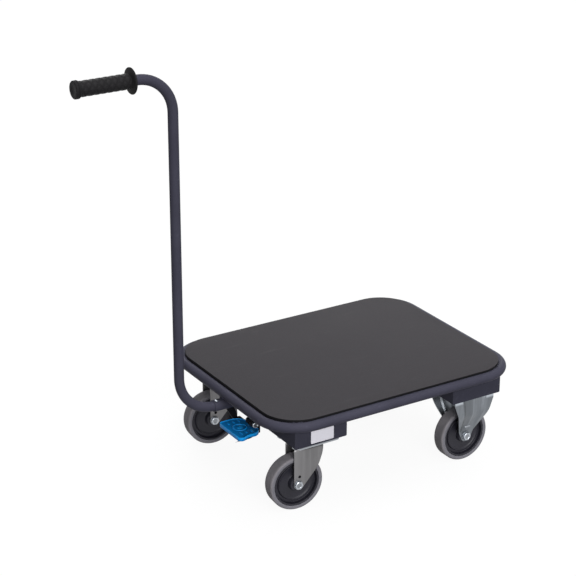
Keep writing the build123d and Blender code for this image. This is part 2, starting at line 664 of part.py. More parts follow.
for name, side in (("swivel_near", -1), ("swivel_far", 1)):
    king = Pos(swivel_x, side * track_y, 0)
    turned = king * Rot(0, 0, REST_YAW)
    save(f"{name}_plate", king * swivel_plate)
    save(f"{name}_kingpin", king * kingpin)
    save(f"{name}_balls", Compound([king * ball for ball in balls]))
    save(f"{name}_fork", turned * fork)
    save_wheel(name, turned * Pos(-TRAIL, 0, 0))

# Fixed castor: plate and legs bent from one sheet, legs drawn in towards the wheel
leg_half = PLATE_Y / 2
foot_half = fork_out / 2
toe_x = FIXED_END * cos(radians(FIXED_HEEL))
toe_z = axle_z - FIXED_END * sin(radians(FIXED_HEEL))
sheet_profile = make_face(Polyline(
    (0, castor_height),
    (leg_half, castor_height),
    (leg_half, fixed_leg_bend),
    (foot_half, fixed_leg_foot),
    (foot_half, axle_z - FIXED_END),
    (foot_half - FORK_T, axle_z - FIXED_END),
    (foot_half - FORK_T, fixed_leg_foot + FORK_T / 2),
    (leg_half - FORK_T, fixed_leg_bend + FORK_T / 2),
    (leg_half - FORK_T, plate_under),
    (0, plate_under),
    close=True,
))
half_fork = extrude(Plane.YZ * sheet_profile, PLATE_X / 2, both=True)
half_fork = fillet(half_fork.edges().filter_by(Axis.X).group_by(Axis.Y)[-1].sort_by(Axis.Z)[-1], FORK_T)
bent_sheet = half_fork + mirror(half_fork, Plane.XZ)
side_outline = make_face(Polyline(
    (-PLATE_X / 2, castor_height),
    (-PLATE_X / 2, fixed_shoulder_z),
    (-FIXED_WAIST_X / 2, fixed_waist_z),
    (-FIXED_NECK_X / 2, fixed_neck_z),
    (-toe_x, toe_z),
    (toe_x, toe_z),
    (FIXED_NECK_X / 2, fixed_neck_z),
    (FIXED_WAIST_X / 2, fixed_waist_z),
    (PLATE_X / 2, fixed_shoulder_z),
    (PLATE_X / 2, castor_height),
    close=True,
)) + Pos(0, axle_z) * Circle(FIXED_END)
side_outline -= Pos(0, axle_z) * Circle(AXLE / 2 + HOLE_PLAY)
side_outline -= Pos(0, axle_z + FIXED_SLOT_UP) * SlotOverall(FIXED_SLOT_X, FIXED_SLOT_Z)
fixed_fork = bent_sheet & Pos(0, PLATE_Y / 2, 0) * extrude(Plane.XZ * side_outline, PLATE_Y)
for spot in plate_spots:
    fixed_fork -= spot * castor_hole

for name, side in (("fixed_near", -1), ("fixed_far", 1)):
    foot = Pos(rear_channel_x, side * track_y, 0)
    save(f"{name}_fork", foot * fixed_fork)
    save_wheel(name, foot)

# Screws that hold the castor plates to the channels
plate_bolt = Pos(0, 0, channel_floor) * screw(M8, M8_FLATS, M8_HEAD, SHEET + PLATE_T + M8_NUT + SCREW_OVER)
plate_nut = Pos(0, 0, plate_under) * nut(M8, M8_FLATS, M8_NUT)
for name, mid_x in (("front", swivel_x), ("rear", rear_channel_x)):
    save(f"{name}_castor_bolts", Compound([spot * plate_bolt for spot in castor_spots(mid_x)]))
    save(f"{name}_castor_nuts", Compound([spot * plate_nut for spot in castor_spots(mid_x)]))
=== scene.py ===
import json
from math import atan2, cos, pi, radians, sin, sqrt, tan

import bmesh
import bpy
from mathutils import Matrix, Vector


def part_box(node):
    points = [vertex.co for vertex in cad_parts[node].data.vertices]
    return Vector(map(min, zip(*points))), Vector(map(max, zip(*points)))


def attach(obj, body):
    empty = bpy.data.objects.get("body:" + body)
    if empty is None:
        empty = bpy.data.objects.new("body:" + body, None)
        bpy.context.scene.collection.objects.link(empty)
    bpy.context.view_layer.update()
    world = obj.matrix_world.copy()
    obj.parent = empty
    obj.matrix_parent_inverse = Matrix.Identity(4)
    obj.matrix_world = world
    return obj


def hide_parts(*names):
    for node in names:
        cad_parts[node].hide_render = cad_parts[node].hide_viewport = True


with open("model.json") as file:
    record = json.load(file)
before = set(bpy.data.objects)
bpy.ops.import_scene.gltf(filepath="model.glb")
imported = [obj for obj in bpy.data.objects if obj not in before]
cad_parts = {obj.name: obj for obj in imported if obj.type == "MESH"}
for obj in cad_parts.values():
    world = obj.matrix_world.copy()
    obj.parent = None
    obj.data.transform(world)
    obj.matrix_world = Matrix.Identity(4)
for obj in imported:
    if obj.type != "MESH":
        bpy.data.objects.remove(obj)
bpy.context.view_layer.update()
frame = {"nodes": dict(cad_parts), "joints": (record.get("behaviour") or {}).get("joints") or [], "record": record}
joints = {joint["name"]: joint for joint in frame["joints"]}

bl_info = {
    "name": "Platform dolly",
    "version": (1, 0, 0),
    "blender": (4, 5, 0),
    "location": "View3D > Sidebar > Dolly",
    "description": "Dresses the platform dolly with its surfaces, fittings and finishes",
    "category": "Object",
}

MM = 0.001
SWIVELS = ("swivel_near", "swivel_far")
FIXED = ("fixed_near", "fixed_far")
# Turns that lay a shape's Z along +Y, towards the far side, and along -Y, towards the near side.
TO_FAR = Matrix.Rotation(radians(-90), 4, "X")
TO_NEAR = Matrix.Rotation(radians(90), 4, "X")


def length(name, description, millimetres):
    """A size that a user may change."""
    return bpy.props.FloatProperty(
        name=name, description=description, default=millimetres * MM,
        unit="LENGTH", subtype="DISTANCE", precision=4
    )


def tint(name, description, red, green, blue):
    """A colour that a user may change."""
    return bpy.props.FloatVectorProperty(
        name=name, description=description, default=(red, green, blue), subtype="COLOR", min=0.0, max=1.0
    )


class DollySizes(bpy.types.PropertyGroup):
    """Sizes of the pieces that the scene makes"""

    edge: length("Edge", "Rounding of sheet and plate edges", 0.6)
    deck_corner: length("Deck corner", "Corner radius of the deck in plan", 80.0)
    deck_edge: length("Deck edge", "Rounding of the deck covering's upper edge", 0.6)
    deck_lip: length("Deck lip", "Thickness of the covering's lip round the board", 0.4)
    deck_lip_drop: length("Lip drop", "Depth of that lip below the covering", 3.6)
    tyre_radius: length("Tyre radius", "Outer radius of the tyre", 62.5)
    tyre_half: length("Tyre half width", "Half of the tyre's width", 16.5)
    tyre_shoulder: length("Tyre shoulder", "Rounding between tread and side", 5.0)
    rim_radius: length("Rim radius", "Radius where the tyre sits on the hub", 53.0)
    ridge_radius: length("Ridge radius", "Outer radius of the ridge on the hub", 41.5)
    boss_radius: length("Boss radius", "Radius of the boss round the axle", 17.0)
    bore_radius: length("Bore radius", "Radius of the bearing's seat in the hub", 10.0)
    grip_radius: length("Grip radius", "Radius of the grip between its pads", 15.7)
    grip_pad: length("Grip pad", "Height of a pad on the grip", 0.6)
    grip_pitch: length("Grip pitch", "Distance from pad to pad along the grip", 14.3)
    grip_collar: length("Grip collar", "Radius of the collar at the grip's end", 18.7)
    fork_sheet: length("Fork sheet", "Thickness of the castor forks", 2.5)
    fork_edge: length("Fork edge", "Rounding of the castor forks' cut edges", 0.4)
    fork_bend: length("Fork bend", "Reach of the bends in the castor forks", 6.0)
    fork_foot: length("Fork foot", "End radius of the swivel forks", 12.0)
    fork_foot_ahead: length("Foot ahead", "Centre of a swivel fork's foot ahead of its axle", 2.5)
    fork_front: length("Fork front", "Front edge of a swivel fork ahead of the kingpin at its crown", 35.5)
    fork_knee_x: length("Knee", "Front edge of a swivel fork ahead of the kingpin at its knee", 24.0)
    fork_knee_up: length("Knee height", "Height of the knee over the axle", 35.5)
    fork_shoulder_drop: length("Shoulder drop", "Depth of a swivel fork's shoulder below its crown", 16.5)
    fork_waist: length("Fork waist", "Depth of the hollow in the back of a swivel fork's crown", 12.0)
    fork_hole: length("Fork hole", "Diameter of the spare hole over the axle", 7.0)
    fork_hole_up: length("Fork hole height", "Height of the spare hole over the axle", 18.0)
    plate_reach: length("Plate reach", "Reach of the swivel plates to the channel's end", 5.4)
    race_height: length("Race height", "Height of the lower ball race over the crown", 3.7)
    race_inner: length("Race inside", "Inner radius of the lower ball race", 18.0)
    race_outer: length("Race outside", "Outer radius of the lower ball race", 30.0)
    leg_bend_up: length("Leg bend", "Height of a fixed leg's upper bend over the axle", 65.5)
    leg_foot_up: length("Leg foot", "Height of a fixed leg's lower bend over the axle", 11.0)
    leg_end: length("Leg end", "End radius of the fixed legs", 13.5)
    panel_depth: length("Panel depth", "Depth of the pressed panel in the fixed legs", 3.4)
    panel_half: length("Panel half width", "Half of the pressed panel's width", 30.0)
    panel_slope: length("Panel slope", "Width of the pressed panel's sloping sides", 6.0)
    axle: length("Axle", "Diameter of the axle bolts", 10.0)
    axle_flats: length("Axle flats", "Width across flats of the axle bolts", 17.0)
    axle_washer: length("Axle washer", "Thickness of the axle bolts' washers", 1.5)
    screw: length("Screw", "Diameter of the castor screws and the pedal's pivot", 8.0)
    screw_flats: length("Screw flats", "Width across flats of those screws", 13.0)
    screw_head: length("Screw head", "Height of the heads of those screws", 5.3)
    stud_flats: length("Stud flats", "Width across flats of the deck's nuts", 10.0)
    pad_corner: length("Pedal corner", "Radius of the pedal's outer corners in plan", 9.0)
    pad_near_corner: length("Near corner", "Radius of the pedal's inner corner at the near side", 20.0)
    pad_far_corner: length("Far corner", "Radius of the pedal's inner corner at the far side", 30.0)
    pad_step: length("Pedal step", "Width that the pedal loses beside its foot", 6.0)
    pad_edge: length("Pedal edge", "Rounding of the pedal's rim", 3.0)
    pad_skirt: length("Pedal skirt", "Depth of the pedal's skirt round its lever", 1.2)
    pad_rim: length("Pedal rim", "Width of the rim round the pedal's tread", 4.6)
    pad_sink: length("Pedal sink", "Depth of the pedal's tread below its rim", 1.6)


class DollyColours(bpy.types.PropertyGroup):
    """Colours of the finishes, each under its finish's name"""

    frame_paint: tint("Frame paint", "Powder coat of the ring, handle and socket", 0.058, 0.057, 0.081)
    # A darker copy of the frame's powder coat, painted shade for the channels, which get less light.
    channel_paint: tint("Channel paint", "Powder coat of the cross channels", 0.044, 0.044, 0.062)
    lever_paint: tint("Lever paint", "Paint of the pedal's lever and bracket", 0.012, 0.012, 0.015)
    deck_covering: tint("Deck covering", "Textured covering of the deck", 0.049, 0.0463, 0.051)
    # Near black for the board's own edge, and painted shade on the covering's sides and lip that fill the gap over
    # the ring.
    board_edge: tint("Board edge", "Painted edge of the deck board", 0.005, 0.005, 0.006)
    grip_rubber: tint("Grip rubber", "Rubber of the hand grip", 0.010, 0.0095, 0.0105)
    pedal_plastic: tint("Pedal plastic", "Moulded plastic of the pedal", 0.008, 0.31, 0.86)
    plate_white: tint("Plate white", "Blank plate on the channel", 0.78, 0.77, 0.84)
    zinc_sheet: tint("Zinc sheet", "Brushed sheet of the swivel forks", 0.19, 0.187, 0.192)
    blue_zinc: tint("Blue zinc", "Passivated sheet of the fixed forks", 0.20, 0.215, 0.235)
    zinc_fixing: tint("Zinc fixings", "Plated screws, nuts and plates", 0.35, 0.37, 0.40)
    ground_steel: tint("Ground steel", "Bare steel of shafts and balls", 0.30, 0.30, 0.31)
    tyre_grey: tint("Tyre grey", "Non-marking tyre", 0.190, 0.186, 0.212)
    hub_plastic: tint("Hub plastic", "Moulded wheel hub", 0.0135, 0.013, 0.020)


class Shade:
    """A value in a material; arithmetic on it adds Math nodes."""

    def __init__(self, tree, socket=None):
        self.tree = tree
        self.socket = socket

    def node(self, kind, settings=None, inputs=None, output=0):
        """Add a node, its settings first and then its sockets, and give one of its outputs."""
        made = self.tree.nodes.new(kind)
        for key, value in (settings or {}).items():
            setattr(made, key, value)
        for key, value in (inputs or {}).items():
            if isinstance(value, Shade):
                self.tree.links.new(value.socket, made.inputs[key])
            else:
                made.inputs[key].default_value = value
        return Shade(self.tree, made.outputs[output])

    def maths(self, operation, first, second):
        return self.node("ShaderNodeMath", {"operation": operation}, {0: first, 1: second})

    def __add__(self, other):
        return self.maths("ADD", self, other)

    def __sub__(self, other):
        return self.maths("SUBTRACT", self, other)

    def __rsub__(self, other):
        return self.maths("SUBTRACT", other, self)

    def __mul__(self, other):
        return self.maths("MULTIPLY", self, other)

    __radd__ = __add__
    __rmul__ = __mul__


def times(colour, factor):
    """A colour made lighter or darker."""
    return tuple(min(1.0, channel * factor) for channel in colour)


class Finish:
    """A material under construction, with the patterns that the finishes share."""

    def __init__(self, name, roughness, metallic=0.0, specular=0.5):
        self.material = bpy.data.materials.new(name)
        self.material.use_nodes = True
        self.tree = self.material.node_tree
        self.shader = self.tree.nodes["Principled BSDF"]
        self.shader.inputs["Roughness"].default_value = roughness
        self.shader.inputs["Metallic"].default_value = metallic
        self.shader.inputs["Specular IOR Level"].default_value = specular
        self.make = Shade(self.tree)
        self.place = self.make.node("ShaderNodeTexCoord", output="Object")

    def stretched(self, x, y, z):
        """The place, scaled along each axis."""
        return self.make.node("ShaderNodeMapping", None, {"Vector": self.place, "Scale": (x, y, z)})

    def noise(self, scale, detail=2.0, roughness=0.5, place=None):
        """Cloudy variation between about 0.3 and 0.7."""
        inputs = {"Vector": place or self.place, "Scale": scale, "Detail": detail, "Roughness": roughness}
        return self.make.node("ShaderNodeTexNoise", None, inputs)

    def cells(self, scale):
        """Distance to scattered points."""
        return self.make.node("ShaderNodeTexVoronoi", None, {"Vector": self.place, "Scale": scale})

    def ramp(self, value, low, high):
        """Soft step of a value between two limits."""
        return self.make.node(
            "ShaderNodeMapRange", {"interpolation_type": "SMOOTHSTEP"}, {0: value, 1: low, 2: high}
        )

    def patches(self, low, high, *pattern):
        """Soft-edged patches where a noise is high."""
        return self.ramp(self.noise(*pattern), low, high)

    def blend(self, factor, first, second):
        """Mix of two colours."""
        colours = [c if isinstance(c, Shade) else (c[0], c[1], c[2], 1.0) for c in (first, second)]
        settings = {"data_type": "RGBA", "clamp_factor": True}
        return self.make.node("ShaderNodeMix", settings, {0: factor, 6: colours[0], 7: colours[1]}, output=2)

    def clouded(self, cloud, colour, dark, light):
        """A colour that drifts between a darker and a lighter one."""
        return self.blend(self.ramp(cloud, 0.3, 0.7), times(colour, dark), times(colour, light))

    def own(self, name):
        """A number stored on the piece's own points."""
        return self.make.node("ShaderNodeAttribute", {"attribute_name": name}, output="Fac")

    def bump(self, height, distance, strength=1.0):
        """Relief on the surface, its depth in metres."""
        inputs = {"Strength": strength, "Distance": distance, "Height": height}
        self.link("Normal", self.make.node("ShaderNodeBump", None, inputs))

    def link(self, socket, value):
        """Feed one of the shader's sockets."""
        self.tree.links.new(value.socket, self.shader.inputs[socket])

    def done(self, colour, roughness):
        """Feed the colour and the roughness, and give the material."""
        self.link("Base Color", colour)
        self.link("Roughness", roughness)
        return self.material


def powder_coat(name, colour):
    """Satin powder coat: fine orange peel, faint clouding, and rubbed spots."""
    finish = Finish(name, 0.5, specular=0.03)
    peel = finish.noise(620.0)
    cloud = finish.noise(14.0, 3.0)
    rubbed = finish.patches(0.60, 0.74, 70.0, 6.0, 0.65)
    base = finish.clouded(cloud, colour, 0.93, 1.07)
    worn = finish.blend(rubbed * 0.35, base, times(colour, 1.55))
    finish.bump(peel, 0.00006)
    return finish.done(worn, 0.44 + cloud * 0.14 + rubbed * 0.05)


def textured_covering(name, colour):
    """Dark deck covering with a fine pebbled grain, dust in the grain and scuffs."""
    finish = Finish(name, 0.8, specular=0.1)
    pebble = finish.cells(520.0)
    grain = finish.noise(1500.0)
    cloud = finish.noise(5.0, 4.0, 0.6)
    scuff = finish.patches(0.58, 0.76, 9.0, 6.0, 0.7, finish.stretched(1.0, 5.0, 1.0))
    base = finish.clouded(cloud, colour, 0.94, 1.05)
    dusty = finish.blend(finish.ramp(pebble, 0.25, 0.75) * 0.3, base, times(colour, 1.3))
    worn = finish.blend(scuff * 0.22, dusty, times(colour, 1.5))
    finish.bump(pebble + grain * 0.3, 0.00022, 0.8)
    return finish.done(worn, 0.72 + cloud * 0.2 - scuff * 0.08)


def dark_edge_and_gap_shade(name, colour):
    """Black painted board edge, also painted shade on the deck covering's sides and on its lip down to the ring.
    """
    finish = Finish(name, 0.6, specular=0.1)
    fibre = finish.noise(240.0, 3.0, 0.6, finish.stretched(1.0, 1.0, 4.0))
    streaked = finish.blend(finish.ramp(fibre, 0.35, 0.7), colour, times(colour, 1.6))
    finish.bump(fibre, 0.0001)
    return finish.done(streaked, 0.5 + fibre * 0.2)


def moulded_rubber(name, colour):
    """Black grip rubber, polished smoother on its pads, whose colour is lightened as a painted highlight."""
    finish = Finish(name, 0.55, specular=0.12)
    skin = finish.noise(900.0)
    cloud = finish.noise(28.0, 3.0)
    pad_polish_and_highlight = finish.ramp(finish.own("raised"), 0.55, 1.0)
    base = finish.clouded(cloud, colour, 0.85, 1.15)
    # The pads' lighter colour is a painted highlight; their lower roughness is the polish of hands.
    worn = finish.blend(pad_polish_and_highlight * 0.5, base, times(colour, 1.7))
    finish.bump(skin, 0.00005)
    return finish.done(worn, 0.6 + cloud * 0.1 - pad_polish_and_highlight * 0.16)


def moulded_plastic(name, colour, shine):
    """Moulded plastic with a fine spark texture and scratches."""
    finish = Finish(name, shine, specular=0.3)
    spark = finish.noise(1100.0)
    cloud = finish.noise(30.0, 3.0)
    scratch = finish.patches(0.62, 0.75, 120.0, 4.0, 0.6, finish.stretched(1.0, 6.0, 1.0))
    base = finish.clouded(cloud, colour, 0.9, 1.1)
    worn = finish.blend(scratch * 0.25, base, times(colour, 1.5))
    finish.bump(spark, 0.00005)
    return finish.done(worn, shine + cloud * 0.12 - 0.05)


def pedal_plastic(name, colour):
    """Moulded pedal: a painted highlight on its raised rim and ribs, painted shade in its sunk tread, and soiled
    patches and scratches.
    """
    finish = Finish(name, 0.3, specular=0.2)
    spark = finish.noise(1100.0)
    cloud = finish.noise(40.0, 4.0, 0.6)
    raised = finish.ramp(finish.own("raised"), 0.1, 0.9)
    scratch = finish.patches(0.62, 0.75, 140.0, 4.0, 0.6, finish.stretched(1.0, 6.0, 1.0))
    # Painted light: the raised rim and ribs lighter, the sunk tread darker.
    base = finish.blend(raised, times(colour, 0.72), times(colour, 1.3))
    soiled = finish.blend(finish.ramp(cloud, 0.3, 0.7) * 0.3, base, times(colour, 0.6))
    worn = finish.blend(scratch * 0.2, soiled, times(colour, 1.4))
    finish.bump(spark, 0.00005)
    return finish.done(worn, 0.42 - raised * 0.14 + cloud * 0.08)


def white_plate(name, colour):
    """Blank white plate, a little soiled."""
    finish = Finish(name, 0.4, specular=0.4)
    soil = finish.patches(0.55, 0.8, 60.0, 5.0, 0.65)
    finish.bump(finish.noise(500.0), 0.00002)
    return finish.done(finish.blend(soil * 0.25, colour, times(colour, 0.72)), 0.34 + soil * 0.2)


def plated(name, colour, roughness, along):
    """Zinc plate: rolling grain, clouded passivation, small stains, and painted light and shade that the piece
    stores on its points.
    """
    finish = Finish(name, roughness, metallic=1.0)
    grain = finish.noise(60.0, 4.0, 0.7, finish.stretched(*along))
    cloud = finish.noise(34.0, 4.0, 0.6)
    stain = finish.patches(0.6, 0.78, 120.0, 5.0, 0.65)
    broad = finish.noise(9.0, 3.0, 0.6, finish.stretched(*along))
    tone = finish.own("tone")
    shown = finish.blend(finish.ramp(broad, 0.35, 0.65), times(colour, 0.82), times(colour, 1.12))
    # A stored value below 0 darkens the colour as painted shade; a value above 0 lightens it as a painted
    # highlight.
    for amount, level in (
        (finish.ramp(cloud, 0.3, 0.7) * 0.5, 0.96), (finish.ramp(grain, 0.3, 0.75) * 0.4, 0.78),
        (stain * 0.3, 0.62), (finish.ramp(tone, 0.0, -1.0), 0.3), (finish.ramp(tone, 0.0, 1.0), 2.2),
    ):
        shown = finish.blend(amount, shown, times(colour, level))
    finish.bump(grain, 0.00004)
    return finish.done(shown, roughness - 0.08 + cloud * 0.14 + grain * 0.08)


def tyre_compound(name, colour):
    """Grey tyre: darker sides, a rubbed and dusty tread."""
    finish = Finish(name, 0.66, specular=0.35)
    tread = finish.ramp(finish.own("reach"), 0.93, 0.985)
    skin = finish.noise(700.0, 3.0)
    cloud = finish.noise(45.0, 4.0, 0.6)
    speck = finish.patches(0.60, 0.72, 260.0, 4.0, 0.7)
    dust = (colour[0] * 1.26, colour[1] * 1.22, colour[2] * 1.16)
    side = finish.clouded(cloud, colour, 0.86, 1.0)
    worn = finish.blend(tread, side, finish.clouded(cloud, dust, 0.9, 1.12))
    specked = finish.blend(speck * 0.2, worn, times(colour, 0.55))
    finish.bump(skin, 0.00007)
    return finish.done(specked, 0.55 + tread * 0.16 + cloud * 0.12)


# Each finish: what makes it, and for some their roughness and the stretch of their rolling grain.
RECIPES = {
    "frame_paint": (powder_coat,),
    "channel_paint": (powder_coat,),
    "lever_paint": (powder_coat,),
    "deck_covering": (textured_covering,),
    "board_edge": (dark_edge_and_gap_shade,),
    "grip_rubber": (moulded_rubber,),
    "pedal_plastic": (pedal_plastic,),
    "hub_plastic": (moulded_plastic, 0.44),
    "plate_white": (white_plate,),
    "zinc_sheet": (plated, 0.42, (6.0, 6.0, 0.25)),
    "blue_zinc": (plated, 0.38, (5.0, 5.0, 0.5)),
    "zinc_fixing": (plated, 0.26, (2.0, 2.0, 2.0)),
    "ground_steel": (plated, 0.34, (1.0, 6.0, 6.0)),
    "tyre_grey": (tyre_compound,),
}
MATERIALS = {}


def material(name):
    """The finish of that name, made on first use."""
    if name not in MATERIALS:
        recipe, *settings = RECIPES[name]
        MATERIALS[name] = recipe(name, tuple(getattr(bpy.context.scene.dolly_colours, name)), *settings)
    return MATERIALS[name]


def size(name):
    """A size in millimetres."""
    return getattr(bpy.context.scene.dolly_sizes, name) / MM


def box(node):
    """A CAD node's lowest and highest corner in millimetres."""
    low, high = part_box(node)
    return Vector(low) / MM, Vector(high) / MM


def middle(low, high, **given):
    """The middle of a box, moved along the axes that are given."""
    place = (low + high) / 2
    for axis, value in given.items():
        setattr(place, axis, value)
    return place


def dress(node, finish):
    """Give a CAD node that stays in view its finish."""
    mesh = frame["nodes"][node].data
    mesh.materials.clear()
    mesh.materials.append(material(finish))


def body_of(node):
    """The body that a CAD node moves with."""
    for body, members in frame["record"]["behaviour"]["bodies"].items():
        if node in members:
            return body
    raise ValueError("no body holds " + node)


def slot_of(node):
    """The record's material slot of a CAD node."""
    return next(part["material_slot"] for part in frame["record"]["subparts"] if part["node"] == node)


def make_piece(name, shape, node, *finishes, place=None, angle=35.0):
    """Make a shape in millimetres an object that stands for a CAD node and rides on its body."""
    if place:
        bmesh.ops.transform(shape, matrix=place, verts=shape.verts)
    bmesh.ops.scale(shape, vec=(MM, MM, MM), verts=shape.verts)
    bmesh.ops.remove_doubles(shape, verts=shape.verts, dist=1e-6)
    bmesh.ops.recalc_face_normals(shape, faces=shape.faces)
    mesh = bpy.data.meshes.new(name)
    shape.to_mesh(mesh)
    shape.free()
    mesh.shade_smooth()
    mesh.set_sharp_from_angle(angle=radians(angle))
    for finish in finishes:
        mesh.materials.append(material(finish))
    piece = bpy.data.objects.new(name, mesh)
    bpy.context.scene.collection.objects.link(piece)
    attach(piece, body_of(node))
    slot_of(node)
    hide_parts(node)


def add(target, shape, place):
    """Put a shape into a larger one."""
    mesh = bpy.data.meshes.new("shape")
    shape.to_mesh(mesh)
    shape.free()
    mesh.transform(place)
    target.from_mesh(mesh)
    bpy.data.meshes.remove(mesh)


def bevel(shape, geom, reach, steps=2, affect="EDGES"):
    """Round edges or corners of a shape."""
    return bmesh.ops.bevel(
        shape, geom=geom, offset=reach, offset_type="OFFSET", segments=steps, profile=0.5,
        affect=affect, clamp_overlap=True, material=-1
    )


def hollow(shape, face, wall, slope, depth, even=True):
    """Leave a wall round a face and sink the face inside it."""
    for thickness, sunk in ((wall, 0.0), (slope, -depth)):
        bmesh.ops.inset_region(shape, faces=[face], thickness=thickness, depth=sunk, use_even_offset=even)


def lowest_face(shape):
    """The face under a slab."""
    return min(shape.faces, key=lambda face: face.calc_center_median().z)


def hard_edges(shape, angle):
    """Edges where two faces meet at more than an angle."""
    shape.normal_update()
    return [e for e in shape.edges if e.is_manifold and e.calc_face_angle(0.0) > radians(angle)]


def points_in(geom):
    """The points among the results of an operator."""
    return [item for item in geom if isinstance(item, bmesh.types.BMVert)]


def edges_in(geom, points):
    """The edges among the results of an operator that join two of the points."""
    edges = [item for item in geom if isinstance(item, bmesh.types.BMEdge)]
    return [e for e in edges if all(v in points for v in e.verts)]


def mirrored(shape, axis, gap):
    """Add a shape's mirror image and merge the two where they meet."""
    bmesh.ops.mirror(shape, geom=shape.verts[:] + shape.edges[:] + shape.faces[:], merge_dist=gap, axis=axis)
    return shape


def turned(profile, steps):
    """Spin a line of radius and height about Z."""
    shape = bmesh.new()
    points = [shape.verts.new((radius, 0.0, height)) for radius, height in profile]
    edges = [shape.edges.new(pair) for pair in zip(points, points[1:])]
    bmesh.ops.spin(
        shape, geom=points + edges, cent=(0, 0, 0), axis=(0, 0, 1), angle=2 * pi, steps=steps, use_merge=True
    )
    bmesh.ops.remove_doubles(shape, verts=shape.verts, dist=1e-4)
    return shape


def softened(node, reach):
    """A copy of a CAD node in millimetres, its triangles joined to faces and its hard edges rounded."""
    flat_angle, hard_angle = 1.0, 40.0
    shape = bmesh.new()
    shape.from_mesh(frame["nodes"][node].data)
    bmesh.ops.scale(shape, vec=(1 / MM, 1 / MM, 1 / MM), verts=shape.verts)
    bmesh.ops.remove_doubles(shape, verts=shape.verts, dist=0.01)
    bmesh.ops.dissolve_limit(shape, angle_limit=radians(flat_angle), verts=shape.verts, edges=shape.edges)
    bevel(shape, hard_edges(shape, hard_angle), reach)
    return shape


def solids_of(node):
    """The lowest and highest corner of each separate solid of a CAD node."""
    shape = bmesh.new()
    shape.from_mesh(frame["nodes"][node].data)
    bmesh.ops.remove_doubles(shape, verts=shape.verts, dist=1e-5)
    waiting = set(shape.verts)
    corners = []
    while waiting:
        front = [waiting.pop()]
        members = []
        while front:
            v = front.pop()
            members.append(v.co / MM)
            linked = {e.other_vert(v) for e in v.link_edges} & waiting
            waiting -= linked
            front += linked
        corners.append([Vector([limit(p[i] for p in members) for i in range(3)]) for limit in (min, max)])
    shape.free()
    return corners


def rectangle(low, high, corner):
    """Outline of a rectangle with round corners."""
    places = ((low[0], low[1]), (high[0], low[1]), (high[0], high[1]), (low[0], high[1]))
    return [(x, y, corner) for x, y in places]


def rounded_slab(outline, low, high, edge, steps=3):
    """A slab over a plan outline of (x, y, corner radius), with a rounded upper edge."""
    shape = bmesh.new()
    corners = [shape.verts.new((x, y, low)) for x, y, radius in outline]
    shape.faces.new(corners)
    for corner, (x, y, radius) in zip(corners, outline):
        bevel(shape, [corner], radius, steps=14, affect="VERTICES")
    raised = bmesh.ops.extrude_face_region(shape, geom=shape.faces[:])["geom"]
    bmesh.ops.translate(shape, verts=points_in(raised), vec=(0, 0, high - low))
    bevel(shape, [e for e in shape.edges if all(v.co.z > high - 1e-4 for v in e.verts)], edge, steps)
    bmesh.ops.recalc_face_normals(shape, faces=shape.faces)
    return shape


def hexagon(flats, low, high, lower=False):
    """A hexagon bar whose upper end, or both ends, are turned to a shallow cone and dished."""
    inner = flats * 0.475
    slope = tan(radians(30))
    # Painted light on the plated finish: a painted highlight on the sides, painted shade on the base ring and in
    # the dish.
    side_highlight, base_shade, dish_shade = 0.3, -0.6, -0.4
    shape = bmesh.new()
    tone = shape.verts.layers.float.new("tone")
    bmesh.ops.create_circle(shape, segments=6, radius=flats / sqrt(3), cap_ends=False)
    bmesh.ops.subdivide_edges(shape, edges=shape.edges[:], cuts=3)
    ring = shape.edges[:]
    base = shape.verts[:]
    made = bmesh.ops.extrude_edge_only(shape, edges=ring)["geom"]
    top = points_in(made)
    for points, height, way, cut in ((base, low, 1, lower), (top, high, -1, True)):
        for v in points:
            v.co.z = height + way * cut * slope * max(0.0, v.co.to_2d().length - inner)
    for v in shape.verts:
        v[tone] = base_shade if v in base else side_highlight
    dished = []
    for loop, height, cut in ((edges_in(made, top), high, True), (ring, low, lower)):
        cap = bmesh.ops.extrude_edge_only(shape, edges=loop)["geom"]
        points = points_in(cap)
        for v in points:
            way = v.co.to_2d().normalized() * inner
            v.co = (way.x, way.y, height)
        face = bmesh.ops.edgeloop_fill(shape, edges=edges_in(cap, points))["faces"][0]
        if cut:
            dished.append(face)
    bmesh.ops.recalc_face_normals(shape, faces=shape.faces)
    for face in dished:
        hollow(shape, face, flats * 0.13, flats * 0.06, flats * 0.05, even=False)
        for v in face.verts:
            v[tone] = dish_shade
    return shape


def shank(diameter, low, high, thread):
    """A round bar along Z whose lower end carries thread rings."""
    outer = diameter / 2
    root = outer * 0.86
    pitch = 1.25
    profile = [(0.0, low), (root, low)]
    height = low + pitch / 2
    while height < low + thread:
        profile += [(outer, height), (root, height + pitch / 2)]
        height += pitch
    profile += [(outer, height), (outer, high), (0.0, high)]
    return turned(profile, steps=24)


def bolt(diameter, flats, head, below, thread, washer=0.0):
    """A hexagon bolt, seat at z 0, with a washer or a thin collar under its head."""
    shape = hexagon(flats, max(0.4, washer), head)
    wide = flats * (0.6 if washer else 0.47)
    thick = max(0.5, washer)
    edge = 0.2
    rim = [(0.0, 0.0), (wide - edge, 0.0), (wide, edge)]
    rim += [(wide, thick - edge), (wide - edge, thick), (0.0, thick)]
    add(shape, turned(rim, steps=40), Matrix())
    add(shape, shank(diameter, -below, edge, thread), Matrix())
    return shape


def nut(flats, height):
    """A hexagon nut below z 0."""
    return hexagon(flats, -height, 0.0, lower=True)


def axle_frame(name):
    """The place and turn of one wheel in millimetres: its Y along the axle."""
    joint = joints[name + "_roll"]
    axis = Vector(joint["axis"])
    return Matrix.Translation(Vector(joint["pos_m"]) / MM) @ Matrix.Rotation(atan2(-axis.x, axis.y), 4, "Z")


def axle_seat():
    """Half the distance between a fork's outer faces at the axle."""
    return box("fixed_near_axle_nut")[0].y - joints["fixed_near_roll"]["pos_m"][1] / MM


def arc(centre, radius, start, end, steps):
    """Points of an arc in a profile, angles in degrees."""
    angles = [radians(start + (end - start) * i / steps) for i in range(steps + 1)]
    return [(centre[0] + radius * cos(a), centre[1] + radius * sin(a)) for a in angles]


